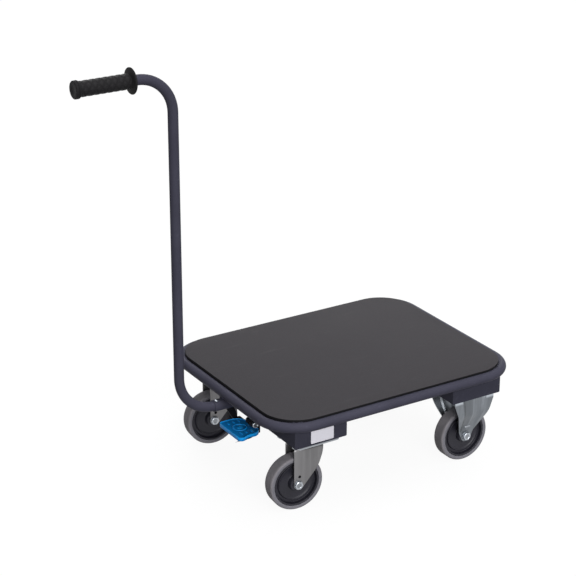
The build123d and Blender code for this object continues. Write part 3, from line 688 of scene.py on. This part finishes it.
def bent_line(corners, step):
    """Points along a line of (a, b, reach) corners, each bent over its reach and no two far apart."""
    bends = 7
    points = []
    for i, (a, b, reach) in enumerate(corners):
        corner = Vector((a, b))
        if not reach:
            points.append(corner)
            continue
        start = corner + (Vector(corners[i - 1][:2]) - corner).normalized() * reach
        end = corner + (Vector(corners[i + 1][:2]) - corner).normalized() * reach
        for k in range(bends + 1):
            t = k / bends
            points.append(start * (1 - t) ** 2 + corner * 2 * t * (1 - t) + end * t**2)
    line = [points[0]]
    for here, there in zip(points, points[1:]):
        parts = max(1, round((there - here).length / step))
        line += [here.lerp(there, (k + 1) / parts) for k in range(parts)]
    return line


def between(points, value):
    """Straight-line value from a list of (position, value) pairs in rising order."""
    for (p0, v0), (p1, v1) in zip(points, points[1:]):
        if value <= p1:
            return v0 + (v1 - v0) * max(0.0, value - p0) / (p1 - p0)
    return points[-1][1]


def smooth(value):
    """Soft step from 0 to 1."""
    t = min(1.0, max(0.0, value))
    return t * t * (3 - 2 * t)


def bent_sheet(path, columns, dent=lambda x, z: 0.0):
    """One half of a fork: a sheet along a path of (y, z), with x places by height and a dent in y."""
    count = len(columns(path[0].y))
    shape = bmesh.new()
    bmesh.ops.create_grid(shape, x_segments=count - 1, y_segments=len(path) - 1, size=0.5)
    for v in shape.verts:
        y, z = path[round((v.co.y + 0.5) * (len(path) - 1))]
        x = columns(z)[round((v.co.x + 0.5) * (count - 1))]
        v.co = (x, y - dent(x, z) * (y > 1.0), z)
    return shape


def whole_fork(half):
    """Mirror half a fork, give it its thickness and round its edges."""
    mirrored(half, "Y", gap=0.01)
    bmesh.ops.remove_doubles(half, verts=half.verts, dist=0.01)
    bmesh.ops.recalc_face_normals(half, faces=half.faces)
    crown = max(half.faces, key=lambda face: face.calc_center_median().z - abs(face.calc_center_median().y))
    if crown.normal.z < 0:
        bmesh.ops.reverse_faces(half, faces=half.faces)
    bmesh.ops.solidify(half, geom=half.faces[:], thickness=size("fork_sheet"))
    bevel(half, hard_edges(half, angle=60.0), size("fork_edge"))
    return half


class DOLLY_OT_frame(bpy.types.Operator):
    """Paint the ring and the handle tube, and round the edges of the socket, lugs and cross channels"""

    bl_idname = "dolly.frame"
    bl_label = "Painted frame"

    def execute(self, context):
        for node in ("frame_ring", "handle_tube"):
            dress(node, "frame_paint")
        edge = size("edge")
        # The cross channels take the darker copy of the frame paint, as painted shade.
        for node, finish, reach in (
            ("handle_socket", "frame_paint", 3 * edge), ("deck_lugs", "frame_paint", edge),
            ("front_cross_channel", "channel_paint", edge), ("rear_cross_channel", "channel_paint", edge),
        ):
            make_piece(node + "_painted", softened(node, reach), node, finish)
        return {"FINISHED"}


class DOLLY_OT_deck(bpy.types.Operator):
    """Lay the covering on the deck board, with a dark lip reaching down to the ring as painted shade in the gap
    between them
    """

    bl_idname = "dolly.deck"
    bl_label = "Deck"

    def ring_height(self, place, deck_half):
        """Height of the ring's surface under a place at the deck's edge."""
        low, high = box("frame_ring")
        tube = (high.z - low.z) / 2
        half = (high - low) / 2
        corner = size("deck_corner") + half.y - tube - deck_half
        outside = Vector((abs(place.x - low.x - half.x) - half.x, abs(place.y) - half.y))
        from_corner = outside + Vector((1, 1)) * (tube + corner)
        inside = corner - (from_corner.length if min(from_corner) > 0 else max(from_corner))
        return low.z + tube + sqrt(tube**2 - inside**2)

    def execute(self, context):
        dress("deck_board", "board_edge")
        low, high = box("deck_mat")
        lip, drop = size("deck_lip"), size("deck_lip_drop")
        lip_flat = 0.8
        grown = Vector((lip, lip, 0))
        outline = rectangle(low - grown, high + grown, size("deck_corner") + lip)
        shape = rounded_slab(outline, low.z - drop, high.z, size("deck_edge"))
        hollow(shape, lowest_face(shape), lip * lip_flat, lip * (1 - lip_flat), drop)
        for v in shape.verts:
            if v.co.z < low.z - drop + 0.1:
                v.co.z = self.ring_height(v.co, high.y)
        shape.normal_update()
        # The covering's sides and lip take the near-black edge finish: the board's dark edge, and painted shade in
        # the gap down to the ring.
        for face in shape.faces:
            face.material_index = int(face.normal.z < 0.8)
        make_piece("deck_covering", shape, "deck_mat", "deck_covering", "board_edge")
        return {"FINISHED"}


class DOLLY_OT_grip(bpy.types.Operator):
    """Mould the hand grip with its guard, pads and end collar"""

    bl_idname = "dolly.grip"
    bl_label = "Hand grip"

    def profile(self, long, guard, first, last):
        """The grip's outline from its guard at 0 to its end, its pads between first and last."""
        bore = 11.2
        rows = 104
        core, collar = size("grip_radius"), size("grip_collar")
        line = [(bore, 0.0), (guard - 2.5, 0.0)]
        line += arc((guard - 2.2, 2.2), 2.2, -80, 80, 6)
        line += [(guard - 3.0, 5.0), (core + 5.0, 5.4), (core + 1.4, 6.2)]
        line += [(core, first + (last - first) * i / rows) for i in range(rows + 1)]
        line += [(core + 1.6, last + 0.6), (collar - 0.5, last + 1.4), (collar, last + 2.6)]
        line += [(collar, last + 4.6), (collar - 0.9, last + 5.2), (collar - 0.9, last + 5.9)]
        line += [(collar - 0.1, last + 6.5), (collar - 0.1, last + 8.6)]
        line += arc((collar - 2.5, long - 2.4), 2.4, 20, 90, 5)
        return line + [(9.0, long - 0.2), (7.0, long - 1.2), (0.0, long - 1.4)]

    def execute(self, context):
        pads_round = 10
        pad_half, pad_slope = 0.46, 0.22
        run_out = 3.0
        core = size("grip_radius")
        low, high = box("handle_grip")
        long = high.x - low.x
        first = 7.0
        last = long - 11.5
        shape = turned(self.profile(long, (high.z - low.z) / 2, first, last), steps=80)
        raised = shape.verts.layers.float.new("raised")
        for v in shape.verts:
            if abs(v.co.to_2d().length - core) > 1e-3 or not first - 1e-3 < v.co.z < last + 1e-3:
                continue
            along = (v.co.z - first) / size("grip_pitch")
            row = atan2(v.co.y, v.co.x) / (2 * pi / pads_round)
            far = max(abs(line - round(line)) for line in (along + row / 2, along - row / 2))
            fade = min(1.0, (v.co.z - first) / run_out, (last - v.co.z) / run_out)
            v[raised] = smooth((pad_half - far) / pad_slope) * max(0.0, fade)
            v.co.xy *= (core + size("grip_pad") * v[raised]) / core
        outwards = Vector((-1, 0, 0)).to_track_quat("Z", "Y").to_matrix().to_4x4()
        place = Matrix.Translation(middle(low, high, x=high.x)) @ outwards
        make_piece("hand_grip", shape, "handle_grip", "grip_rubber", place=place, angle=50)
        return {"FINISHED"}


class DOLLY_OT_pedal(bpy.types.Operator):
    """Mould the pedal's pad, and finish its lever, bracket and return spring"""

    bl_idname = "dolly.pedal"
    bl_label = "Pedal"

    def body(self, low, high):
        """The pad's slab: a sunk tread inside a rim, and a skirt that makes way for the lever's strap."""
        corner, edge, step, skirt = [size("pad_" + name) for name in ("corner", "edge", "step", "skirt")]
        step_start, step_end, step_round = low.x + 13, low.x + 25, 6.0
        strap_x, strap_y = high.x - 16, low.y + 9
        wall, wall_slope, rim_slope = 2.4, 0.4, 1.0
        outline = [
            (low.x, low.y, corner), (step_start, low.y, step_round), (step_end, low.y + step, step_round),
            (high.x, low.y + step, size("pad_near_corner")), (high.x, high.y, size("pad_far_corner")),
            (low.x, high.y, corner),
        ]
        shape = rounded_slab(outline, low.z - skirt, high.z, edge, steps=5)
        hollow(shape, lowest_face(shape), wall, wall_slope, skirt)
        for v in shape.verts:
            if v.co.z < low.z:
                v.co.z += (low.z - v.co.z) * smooth((v.co.x - strap_x) / 6) * smooth((v.co.y - strap_y) / 8)
        shape.normal_update()
        top = max(shape.faces, key=lambda face: face.calc_area() * (face.normal.z > 0.99))
        hollow(shape, top, size("pad_rim") - edge, rim_slope, size("pad_sink"))
        return shape

    def execute(self, context):
        low, high = box("pedal_pad")
        step, sink = size("pad_step"), size("pad_sink")
        shape = self.body(low, high)
        centre = Vector(((low.x + high.x) / 2 - 1, (low.y + step + high.y) / 2, high.z - sink))
        ring = turned([(16.4, -0.2), (16.0, 0.9), (14.8, 1.5), (13.6, 0.9), (13.2, -0.2)], steps=56)
        boss = turned([(0.0, 1.2), (5.4, 1.2), (6.8, 0.8), (7.6, -0.2)], steps=40)
        add(shape, ring, Matrix.Translation(centre))
        add(shape, boss, Matrix.Translation(centre))
        rib_half = Vector((1.7, 5.0))
        rib_pitch, rib_row = 13.0, 27.5
        for side in (-1, 1):
            for column in (-1, 0, 1):
                rib = rounded_slab(rectangle(-rib_half, rib_half, corner=1.6), low=-0.3, high=1.6, edge=0.6)
                add(shape, rib, Matrix.Translation(centre + Vector((column * rib_pitch, side * rib_row, 0))))
        # How raised each point is; the pedal's finish turns it into a painted highlight on rim and ribs and
        # painted shade in the tread.
        raised = shape.verts.layers.float.new("raised")
        for v in shape.verts:
            v[raised] = smooth((v.co.z - centre.z) / sink + (v.co.z < centre.z - 0.4))
        make_piece("pedal_tread", shape, "pedal_pad", "pedal_plastic")
        lever = softened("pedal_lever", size("edge"))
        near_edge = low.y + 12
        for v in lever.verts:
            # The lever's near edge is drawn in, so that the skirt hides it.
            if v.co.z < low.z + 0.1 and v.co.y < near_edge:
                v.co.y += 2 * step
        make_piece("pedal_lever_painted", lever, "pedal_lever", "lever_paint")
        bracket = softened("pedal_bracket", size("edge"))
        make_piece("pedal_bracket_painted", bracket, "pedal_bracket", "lever_paint")
        dress("pedal_return_spring", "lever_paint")
        return {"FINISHED"}


class DOLLY_OT_wheels(bpy.types.Operator):
    """Turn the tyres and hubs of the four wheels"""

    bl_idname = "dolly.wheels"
    bl_label = "Wheels"

    def tyre(self):
        """One tyre about Z; its points keep how far out they are."""
        half, shoulder = size("tyre_half"), size("tyre_shoulder")
        outer, rim = size("tyre_radius"), size("rim_radius")
        side = [(rim, 0.0), (rim, half - 2.2), (rim + 0.4, half - 0.8), (rim + 1.6, half - 0.1)]
        side += arc((outer - shoulder, half - shoulder), shoulder, 90, 4, 8)
        side += [(outer, half - shoulder - 3), (outer, 0.0)]
        shape = mirrored(turned(side, steps=112), "Z", gap=1e-3)
        reach = shape.verts.layers.float.new("reach")
        for v in shape.verts:
            v[reach] = v.co.to_2d().length / outer
        return shape

    def hub(self, half):
        """One hub about Z with its rim, ridge and boss."""
        rim, ridge, boss, bore = [size(name + "_radius") for name in ("rim", "ridge", "boss", "bore")]
        face = size("tyre_half") - 1.5
        side = [(rim, 0.0), (rim, face - 0.8), (rim - 0.8, face), (rim - 3.2, face), (rim - 4.0, face - 0.8)]
        side += [(rim - 5.2, 6.6), (rim - 6.0, 5.8)]
        side += [(ridge + 1.0, 5.6), (ridge + 0.2, 6.2), (ridge - 0.4, 8.6), (ridge - 1.0, 9.2)]
        side += [(ridge - 2.2, 9.2), (ridge - 3.0, 8.6), (ridge - 4.6, 7.6), (ridge - 6.0, 7.2)]
        side += [(boss + 3.0, 6.8), (boss + 1.0, 7.8), (boss, half - 1.6), (boss - 0.9, half - 0.2)]
        side += [(boss - 2.0, half), (bore + 0.2, half), (bore, half - 0.4), (bore, 0.0)]
        return mirrored(turned(side, steps=96), "Z", gap=1e-3)

    def execute(self, context):
        low, high = box("fixed_near_bearing")
        for name in SWIVELS + FIXED:
            place = axle_frame(name) @ TO_FAR
            for part, shape, finish in (
                ("tyre", self.tyre(), "tyre_grey"), ("hub", self.hub((high.y - low.y) / 2), "hub_plastic")
            ):
                make_piece(f"{name}_{part}_moulded", shape, f"{name}_{part}", finish, place=place, angle=30)
            dress(name + "_bearing", "ground_steel")
        return {"FINISHED"}


class DOLLY_OT_swivel_castors(bpy.types.Operator):
    """Bend the swivel castors' forks and finish their plates, kingpins and balls"""

    bl_idname = "dolly.swivel_castors"
    bl_label = "Swivel castors"

    def drill(self, shape, place, radius):
        """Open a round hole at the point of a sheet that is nearest to a place."""
        centre = min(shape.verts, key=lambda v: (v.co - place).length)
        centre.co = place
        cut = bevel(shape, [centre], radius, steps=1, affect="VERTICES")
        rim = [edge for face in cut["faces"] for edge in face.edges]
        bmesh.ops.delete(shape, geom=cut["faces"], context="FACES_ONLY")
        for v in points_in(bmesh.ops.subdivide_edges(shape, edges=rim, cuts=3)["geom_inner"]):
            v.co = place + (v.co - place).normalized() * radius

    def race(self, crown):
        """The lower ball race on the fork's crown."""
        inner, outer = size("race_inner"), size("race_outer")
        foot, top = crown - 0.5, crown + size("race_height")
        line = [(inner, foot), (inner, top - 0.6), (inner + 0.6, top), (outer - 0.8, top), (outer, top - 0.8)]
        return turned(line + [(outer, crown + 0.6), (outer - 0.6, foot), (inner, foot)], steps=64)

    def fork(self, trail, axle, crown, seat):
        """One fork about its kingpin, its wheel trailing towards -X."""
        grid = 6.0
        front_bend = 12.0
        heel = radians(41.0)
        end, front_x = size("fork_foot"), size("fork_front")
        foot = size("fork_foot_ahead") - trail
        knee = (axle + size("fork_knee_up"), size("fork_knee_x"), front_bend)
        shoulder = (crown - size("fork_shoulder_drop"), front_x, front_bend)
        low = (axle - end * sin(heel), foot + end * cos(heel), 0.0)
        front = [tuple(p) for p in bent_line([low, knee, shoulder, (crown, front_x, 0.0)], grid)]
        radius = size("fork_hole") / 2
        hole = Vector((radius - trail, seat, axle + size("fork_hole_up")))

        def columns(z):
            below = sqrt(max(0.0, end**2 - min(0.0, z - axle) ** 2))
            start = foot - below
            stop = foot + below if z < low[0] else between(front, z)
            centre = hole.x if z > axle - end / 2 else start + (stop - start) * 0.4
            return [start, (start + centre) / 2] + [centre + (stop - centre) * k / 7 for k in range(8)]

        def near_crown(v):
            """How far a point is up the bend under the crown, and how far in over the wheel."""
            bend_drop, bend_soft = 8, 6
            return smooth((v.co.z - crown + bend_drop) / bend_soft), smooth((seat - abs(v.co.y)) / bend_soft)

        corners = [(0.0, crown, 0.0), (seat, crown, size("fork_bend"))]
        corners += [(seat, hole.z, 0.0), (seat, axle, 0.0)]
        corners += [(seat, axle - end * sin(radians(a)), 0.0) for a in (15, 30, 41, 50, 60, 70, 80, 90)]
        shape = bent_sheet(bent_line(corners, grid), columns)
        self.drill(shape, hole, radius)
        shape = whole_fork(shape)
        waist_from, waist_soft = -20, 15
        for v in shape.verts:
            high, across = near_crown(v)
            v.co.x += size("fork_waist") * across * high * smooth((waist_from - v.co.x) / waist_soft)
        add(shape, self.race(crown), Matrix())
        tone = shape.verts.layers.float.new("tone")
        light_from, dark_from, tone_soft = -26, -22, 8
        for v in shape.verts:
            # Painted shade darkens the crown under the plate; on the bend beside it, a painted highlight at its
            # back turns to painted shade in front.
            high, across = near_crown(v)
            light, dark = smooth((light_from - v.co.x) / tone_soft), smooth((v.co.x - dark_from) / tone_soft)
            v[tone] = high * ((1 - across) * (0.6 * light - dark) - across)
        return shape

    def plate(self, node, king):
        """A plate drawn out to the channel's end and edge, with a painted highlight on its rim and painted shade
        above and below it.
        """
        rim_height, fade = 4.5, 5
        end_from, side_from = 42, 44
        shape = softened(node, size("edge"))
        outward, reach = king.y / abs(king.y), size("plate_reach")
        rim = max(v.co.z for v in shape.verts) - rim_height
        rim_light_and_shade = [(rim - 0.5, -1.0), (rim, 0.4), (rim + 2, 0.4), (rim + rim_height, -0.7)]
        tone = shape.verts.layers.float.new("tone")
        for v in shape.verts:
            v[tone] = between(rim_light_and_shade, v.co.z)
            v.co.y += outward * reach * smooth((outward * (v.co.y - king.y) - end_from) / fade)
            v.co.x += reach * smooth((abs(v.co.x - king.x) - side_from) / fade)
        return shape

    def execute(self, context):
        for name in SWIVELS:
            king = Vector(joints[name + "_turn"]["pos_m"]) / MM
            wheel = axle_frame(name)
            trail = (wheel.translation - king).to_2d().length
            crown = box(f"{name}_fork")[1].z - size("race_height")
            turn = Matrix.Translation((king.x, king.y, 0)) @ wheel.to_3x3().to_4x4()
            fork = self.fork(trail, wheel.translation.z, crown, axle_seat())
            make_piece(f"{name}_fork_bent", fork, f"{name}_fork", "zinc_sheet", place=turn)
            plate = self.plate(f"{name}_plate", king)
            make_piece(f"{name}_plate_pressed", plate, f"{name}_plate", "zinc_fixing")
            for part in ("kingpin", "balls"):
                dress(f"{name}_{part}", "ground_steel")
        return {"FINISHED"}


class DOLLY_OT_fixed_castors(bpy.types.Operator):
    """Press the fixed castors' one-piece plates and legs"""

    bl_idname = "dolly.fixed_castors"
    bl_label = "Fixed castors"

    def fork(self, axle, low, high, seat):
        """One fork about its axle, plate and legs from one sheet with a pressed panel in each leg."""
        end = size("leg_end")
        half_x = (high.x - low.x) / 2
        leg = (high.y - low.y) / 2
        toe = radians(26.0)
        neck_up, neck_half = 21.5, 24.0
        waist_up, waist_half = 51.5, 36.5
        shoulder_drop = 11.0
        width = [
            (axle - end * sin(toe), end * cos(toe)), (axle + neck_up, neck_half),
            (axle + waist_up, waist_half), (high.z - shoulder_drop, half_x), (high.z, half_x),
        ]
        foot = axle + size("leg_foot_up")
        bend = axle + size("leg_bend_up")
        outer, slope, depth = size("panel_half"), size("panel_slope"), size("panel_depth")
        panel_rise, panel_taper, least_edge = 14.0, 0.58, 1.2
        ridge_height, ridge_half = 0.8, 4

        def places(z):
            """Half widths at a height: of the leg, of its panel and of the panel's floor."""
            if z < width[0][0]:
                wide = sqrt(max(0.0, end**2 - (z - axle) ** 2))
            else:
                wide = between(width, z)
            crease = min(between([(foot, outer * panel_taper), (high.z, outer)], z), wide - least_edge)
            floor = crease - slope if crease > 2 * slope else crease / 2
            return wide, crease, floor

        def columns(z):
            wide, crease, floor = places(z)
            left = [-wide + (wide - crease) * k / 5 for k in range(5)]
            left += [-crease + (crease - floor) * k / 4 for k in range(4)]
            left += [-floor, -floor * 0.55, -floor * 0.11, 0.0]
            return left + [-x for x in reversed(left[:-1])]

        def dent(x, z):
            crease, floor = places(z)[1:]
            ridge = ridge_height * smooth(1 - abs(x) / ridge_half)
            sunk = smooth((crease - abs(x)) / max(0.1, crease - floor))
            return (depth - ridge) * smooth((z - foot) / panel_rise) * sunk

        corners = [(0.0, high.z, 0.0), (leg, high.z, size("fork_bend")), (leg, bend, 10.0), (seat, foot, 5.0)]
        corners += [(seat, axle - end * sin(radians(a)), 0.0) for a in (0, 13, 26, 36, 46, 56, 68, 80, 90)]
        shape = whole_fork(bent_sheet(bent_line(corners, step=5.0), columns, dent))
        # Painted light and shade on the legs: painted shade along the creases and the panel's left half, a painted
        # highlight along its middle ridge, a painted highlight on the top bends, and painted light on the inner
        # faces.
        bend_highlight, inner_painted_light = 0.9, 0.3
        tone = shape.verts.layers.float.new("tone")
        shape.normal_update()
        for v in shape.verts:
            crease, floor = places(v.co.z)[1:]
            x = v.co.x if v.co.y < 0 else -v.co.x
            crease_light_and_shade = [(-crease - 3, 0.0), (-crease, -0.6), (-floor, -0.34), (-floor * 0.1, -0.3), (0.0, 0.36)]
            crease_light_and_shade += [(floor * 0.1, 0.06), (floor, 0.06), (crease, -0.24), (crease + 3, 0.04)]
            v[tone] = between(crease_light_and_shade, x) * smooth((v.co.z - foot) / 10.0)
            if v.co.z > high.z - 7 and abs(x) > crease + 3:
                v[tone] = bend_highlight
            if v.normal.y * v.co.y < -0.7 * abs(v.co.y):
                v[tone] = inner_painted_light
        stop_half = Vector((7.8, 1.7))
        rise = axle + 25.0
        out = seat + (leg - seat) * (rise - foot) / (bend - foot) - depth * smooth((rise - foot) / panel_rise)
        lean = atan2(leg - seat, bend - foot)
        for side in (-1, 1):
            stop = rounded_slab(rectangle(-stop_half, stop_half, corner=1.5), low=-1.0, high=2.2, edge=0.7)
            # The stops take the lighter plated finish of the fixings, a painted highlight on the pressed sheet.
            for face in stop.faces:
                face.material_index = 1
            turn = Matrix.Rotation(side * (lean - radians(90)), 4, "X")
            add(shape, stop, Matrix.Translation((0, side * out, rise)) @ turn)
        return shape

    def execute(self, context):
        for name in FIXED:
            wheel = axle_frame(name).translation
            fork = self.fork(wheel.z, *box(f"{name}_fork"), axle_seat())
            place = Matrix.Translation((wheel.x, wheel.y, 0))
            make_piece(f"{name}_fork_pressed", fork, f"{name}_fork", "blue_zinc", "zinc_fixing", place=place)
        return {"FINISHED"}


class DOLLY_OT_fixings(bpy.types.Operator):
    """Make the bolts and nuts with chamfered hexagons and threads"""

    bl_idname = "dolly.fixings"
    bl_label = "Bolts and nuts"

    def fixing(self, name, shape, node, place=None):
        """A plated piece with crisp edges."""
        make_piece(name, shape, node, "zinc_fixing", place=place, angle=25)

    def axle_bolts(self):
        """The bolt and the nut of each wheel's axle."""
        seat = axle_seat()
        low, high = box("fixed_near_axle_bolt")
        head = joints["fixed_near_roll"]["pos_m"][1] / MM - seat - low.y
        below = high.y - low.y - head
        nut_low, nut_high = box("fixed_near_axle_nut")
        head_turn = Matrix.Rotation(radians(20), 4, "Z")
        for name in SWIVELS + FIXED:
            near, far = [axle_frame(name) @ Matrix.Translation((0, y, 0)) @ TO_NEAR for y in (-seat, seat)]
            screw = bolt(
                size("axle"), size("axle_flats"), head, below, thread=18.0, washer=size("axle_washer")
            )
            self.fixing(f"{name}_axle_screw", screw, f"{name}_axle_bolt", near @ head_turn)
            locknut = nut(size("axle_flats"), nut_high.y - nut_low.y)
            self.fixing(f"{name}_axle_locknut", locknut, f"{name}_axle_nut", far)

    def screws(self, name, node):
        """Upright screws in the places of a CAD node's solids."""
        shape = bmesh.new()
        for low, high in solids_of(node):
            seat = high.z - size("screw_head")
            one = bolt(size("screw"), size("screw_flats"), size("screw_head"), seat - low.z, thread=10.0)
            add(shape, one, Matrix.Translation(middle(low, high, z=seat)))
        self.fixing(name, shape, node)

    def nuts(self, name, node, flats):
        """Nuts in the places of a CAD node's solids."""
        shape = bmesh.new()
        for low, high in solids_of(node):
            add(shape, nut(flats, high.z - low.z), Matrix.Translation(middle(low, high, z=high.z)))
        self.fixing(name, shape, node)

    def pedal_pivot(self):
        """The screw on which the pedal turns, and its nut."""
        flats, head = size("screw_flats"), size("screw_head")
        low, high = box("pedal_pivot_bolt")
        shape = bolt(size("screw"), flats, head, high.y - low.y - head, thread=14.0)
        place = Matrix.Translation(middle(low, high, y=low.y + head)) @ TO_NEAR
        self.fixing("pedal_pivot_screw", shape, "pedal_pivot_bolt", place)
        low, high = box("pedal_pivot_nut")
        place = Matrix.Translation(middle(low, high, y=low.y)) @ TO_NEAR
        shape = nut(flats, high.y - low.y)
        make_piece("pedal_pivot_locknut", shape, "pedal_pivot_nut", "lever_paint", place=place)

    def execute(self, context):
        self.axle_bolts()
        for end in ("front", "rear"):
            self.screws(f"{end}_castor_screws", f"{end}_castor_bolts")
            self.nuts(f"{end}_castor_locknuts", f"{end}_castor_nuts", size("screw_flats"))
        self.nuts("deck_locknuts", "deck_nuts", size("stud_flats"))
        self.pedal_pivot()
        make_piece("handle_clamp_screw", softened("handle_screw", reach=0.5), "handle_screw", "zinc_fixing")
        return {"FINISHED"}


class DOLLY_OT_brake(bpy.types.Operator):
    """Finish the brake shaft, its bearings and the two plungers"""

    bl_idname = "dolly.brake"
    bl_label = "Brake"

    def execute(self, context):
        for node in ("brake_shaft", "brake_shaft_bearings", "brake_plunger_near", "brake_plunger_far"):
            make_piece(node + "_turned", softened(node, reach=0.4), node, "ground_steel")
        return {"FINISHED"}


class DOLLY_OT_plate(bpy.types.Operator):
    """Fit the blank white plate to the end of the front channel"""

    bl_idname = "dolly.plate"
    bl_label = "Blank plate"

    def execute(self, context):
        low, high = box("rating_plate")
        half = Vector(((high.x - low.x) / 2, (high.z - low.z) / 2))
        shape = rounded_slab(rectangle(-half, half, corner=2.0), 0.0, high.y - low.y, edge=0.2)
        place = Matrix.Translation(middle(low, high, y=high.y)) @ TO_NEAR
        make_piece("blank_plate", shape, "rating_plate", "plate_white", place=place)
        return {"FINISHED"}


class DOLLY_OT_stage(bpy.types.Operator):
    """Set up the floor, the soft light and the camera"""

    bl_idname = "dolly.stage"
    bl_label = "Stage"

    def seen(self, tree):
        """1 where the background is looked at, straight or in a surface, and 0 where it only lights."""
        light = tree.nodes.new("ShaderNodeLightPath")
        camera, *others = [
            Shade(tree, light.outputs[f"Is {ray} Ray"]) for ray in ("Camera", "Glossy", "Transmission")
        ]
        return sum(others, camera)

    def floor_paint(self):
        """Pale floor that shows almost white and keeps the shadow."""
        base, glow_level = 0.09, 0.925
        paint = bpy.data.materials.new("pale_floor")
        paint.use_nodes = True
        tree = paint.node_tree
        make = Shade(tree)
        shader = tree.nodes["Principled BSDF"]
        shader.inputs["Base Color"].default_value = (base, base, base, 1.0)
        shader.inputs["Roughness"].default_value = 0.9
        shader.inputs["Specular IOR Level"].default_value = 0.0
        inputs = {"Color": (1.0, 1.0, 1.0, 1.0), "Strength": self.seen(tree) * glow_level}
        glow = make.node("ShaderNodeEmission", None, inputs)
        both = make.node("ShaderNodeAddShader", None, {0: Shade(tree, shader.outputs[0]), 1: glow})
        tree.links.new(both.socket, tree.nodes["Material Output"].inputs["Surface"])
        return paint

    def floor(self, scene):
        """A wide round floor under the wheels."""
        shape = bmesh.new()
        bmesh.ops.create_circle(shape, segments=64, radius=40.0, cap_ends=True)
        mesh = bpy.data.meshes.new("floor")
        shape.to_mesh(mesh)
        shape.free()
        mesh.materials.append(self.floor_paint())
        floor = bpy.data.objects.new("floor", mesh)
        scene.collection.objects.link(floor)

    def world(self, scene):
        """A weak light from all round that shows as white."""
        level = 0.08
        world = bpy.data.worlds.new("studio")
        world.use_nodes = True
        tree = world.node_tree
        background = tree.nodes["Background"]
        strength = level + self.seen(tree) * (1.0 - level)
        tree.links.new(strength.socket, background.inputs["Strength"])
        background.inputs["Color"].default_value = (1.0, 1.0, 1.0, 1.0)
        scene.world = world

    def lamp(self, scene, name, direction, spread, level):
        """An even, soft light from a direction, at a level where 1 shows a colour as it is written."""
        light = bpy.data.lights.new(name, "SUN")
        light.angle = radians(spread)
        light.energy = level * pi
        lamp = bpy.data.objects.new(name, light)
        lamp.location = Vector(direction) * 4
        lamp.rotation_euler = (-Vector(direction)).to_track_quat("-Z", "Y").to_euler()
        scene.collection.objects.link(lamp)

    def camera(self, scene):
        """The camera at the photograph's viewing angle; its focal length is in pixels of the frame."""
        focal, frame_width, sensor = 1829.354, 576, 36
        camera = bpy.data.cameras.new("camera")
        camera.lens = sensor * focal / frame_width
        holder = bpy.data.objects.new("camera", camera)
        turn = Matrix((
            (0.85057764, 0.19962393, -0.48648532),
            (-0.52584685, 0.32582375, -0.78569967),
            (0.00166401, 0.92411535, 0.38211001),
        ))
        half_pixel = Matrix.Rotation(0.5 / focal, 3, "X")
        place = Matrix.Translation((-1.92452, -3.132356, 1.949129))
        holder.matrix_world = place @ (turn @ half_pixel).to_4x4()
        scene.collection.objects.link(holder)
        scene.camera = holder

    def execute(self, context):
        scene = context.scene
        self.floor(scene)
        self.world(scene)
        self.lamp(scene, "front", (-0.22, -0.9, 0.38), spread=40.0, level=0.78)
        self.lamp(scene, "overhead", (0.15, -0.1, 0.98), spread=60.0, level=0.55)
        self.lamp(scene, "back", (0.5, 0.8, 0.33), spread=40.0, level=0.3)
        self.camera(scene)
        scene.view_settings.view_transform = "Standard"
        return {"FINISHED"}


class DOLLY_PT_panel(bpy.types.Panel):
    """The dolly's pieces, in the order in which they are made, and their sizes and colours"""

    bl_idname = "DOLLY_PT_panel"
    bl_label = "Platform dolly"
    bl_space_type = "VIEW_3D"
    bl_region_type = "UI"
    bl_category = "Dolly"

    def draw(self, context):
        for operator in OPERATORS:
            self.layout.operator(operator.bl_idname)
        for group in (context.scene.dolly_sizes, context.scene.dolly_colours):
            for name in group.__annotations__:
                self.layout.prop(group, name)


OPERATORS = (
    DOLLY_OT_frame,
    DOLLY_OT_deck,
    DOLLY_OT_grip,
    DOLLY_OT_pedal,
    DOLLY_OT_wheels,
    DOLLY_OT_swivel_castors,
    DOLLY_OT_fixed_castors,
    DOLLY_OT_fixings,
    DOLLY_OT_brake,
    DOLLY_OT_plate,
    DOLLY_OT_stage,
)
CLASSES = (DollySizes, DollyColours) + OPERATORS + (DOLLY_PT_panel,)


def register():
    for item in CLASSES:
        bpy.utils.register_class(item)
    bpy.types.Scene.dolly_sizes = bpy.props.PointerProperty(type=DollySizes)
    bpy.types.Scene.dolly_colours = bpy.props.PointerProperty(type=DollyColours)


def unregister():
    del bpy.types.Scene.dolly_colours
    del bpy.types.Scene.dolly_sizes
    for item in reversed(CLASSES):
        bpy.utils.unregister_class(item)


def main():
    register()
    bpy.ops.dolly.frame()
    bpy.ops.dolly.deck()
    bpy.ops.dolly.grip()
    bpy.ops.dolly.pedal()
    bpy.ops.dolly.wheels()
    bpy.ops.dolly.swivel_castors()
    bpy.ops.dolly.fixed_castors()
    bpy.ops.dolly.fixings()
    bpy.ops.dolly.brake()
    bpy.ops.dolly.plate()
    bpy.ops.dolly.stage()


if __name__ == "__main__":
    main()
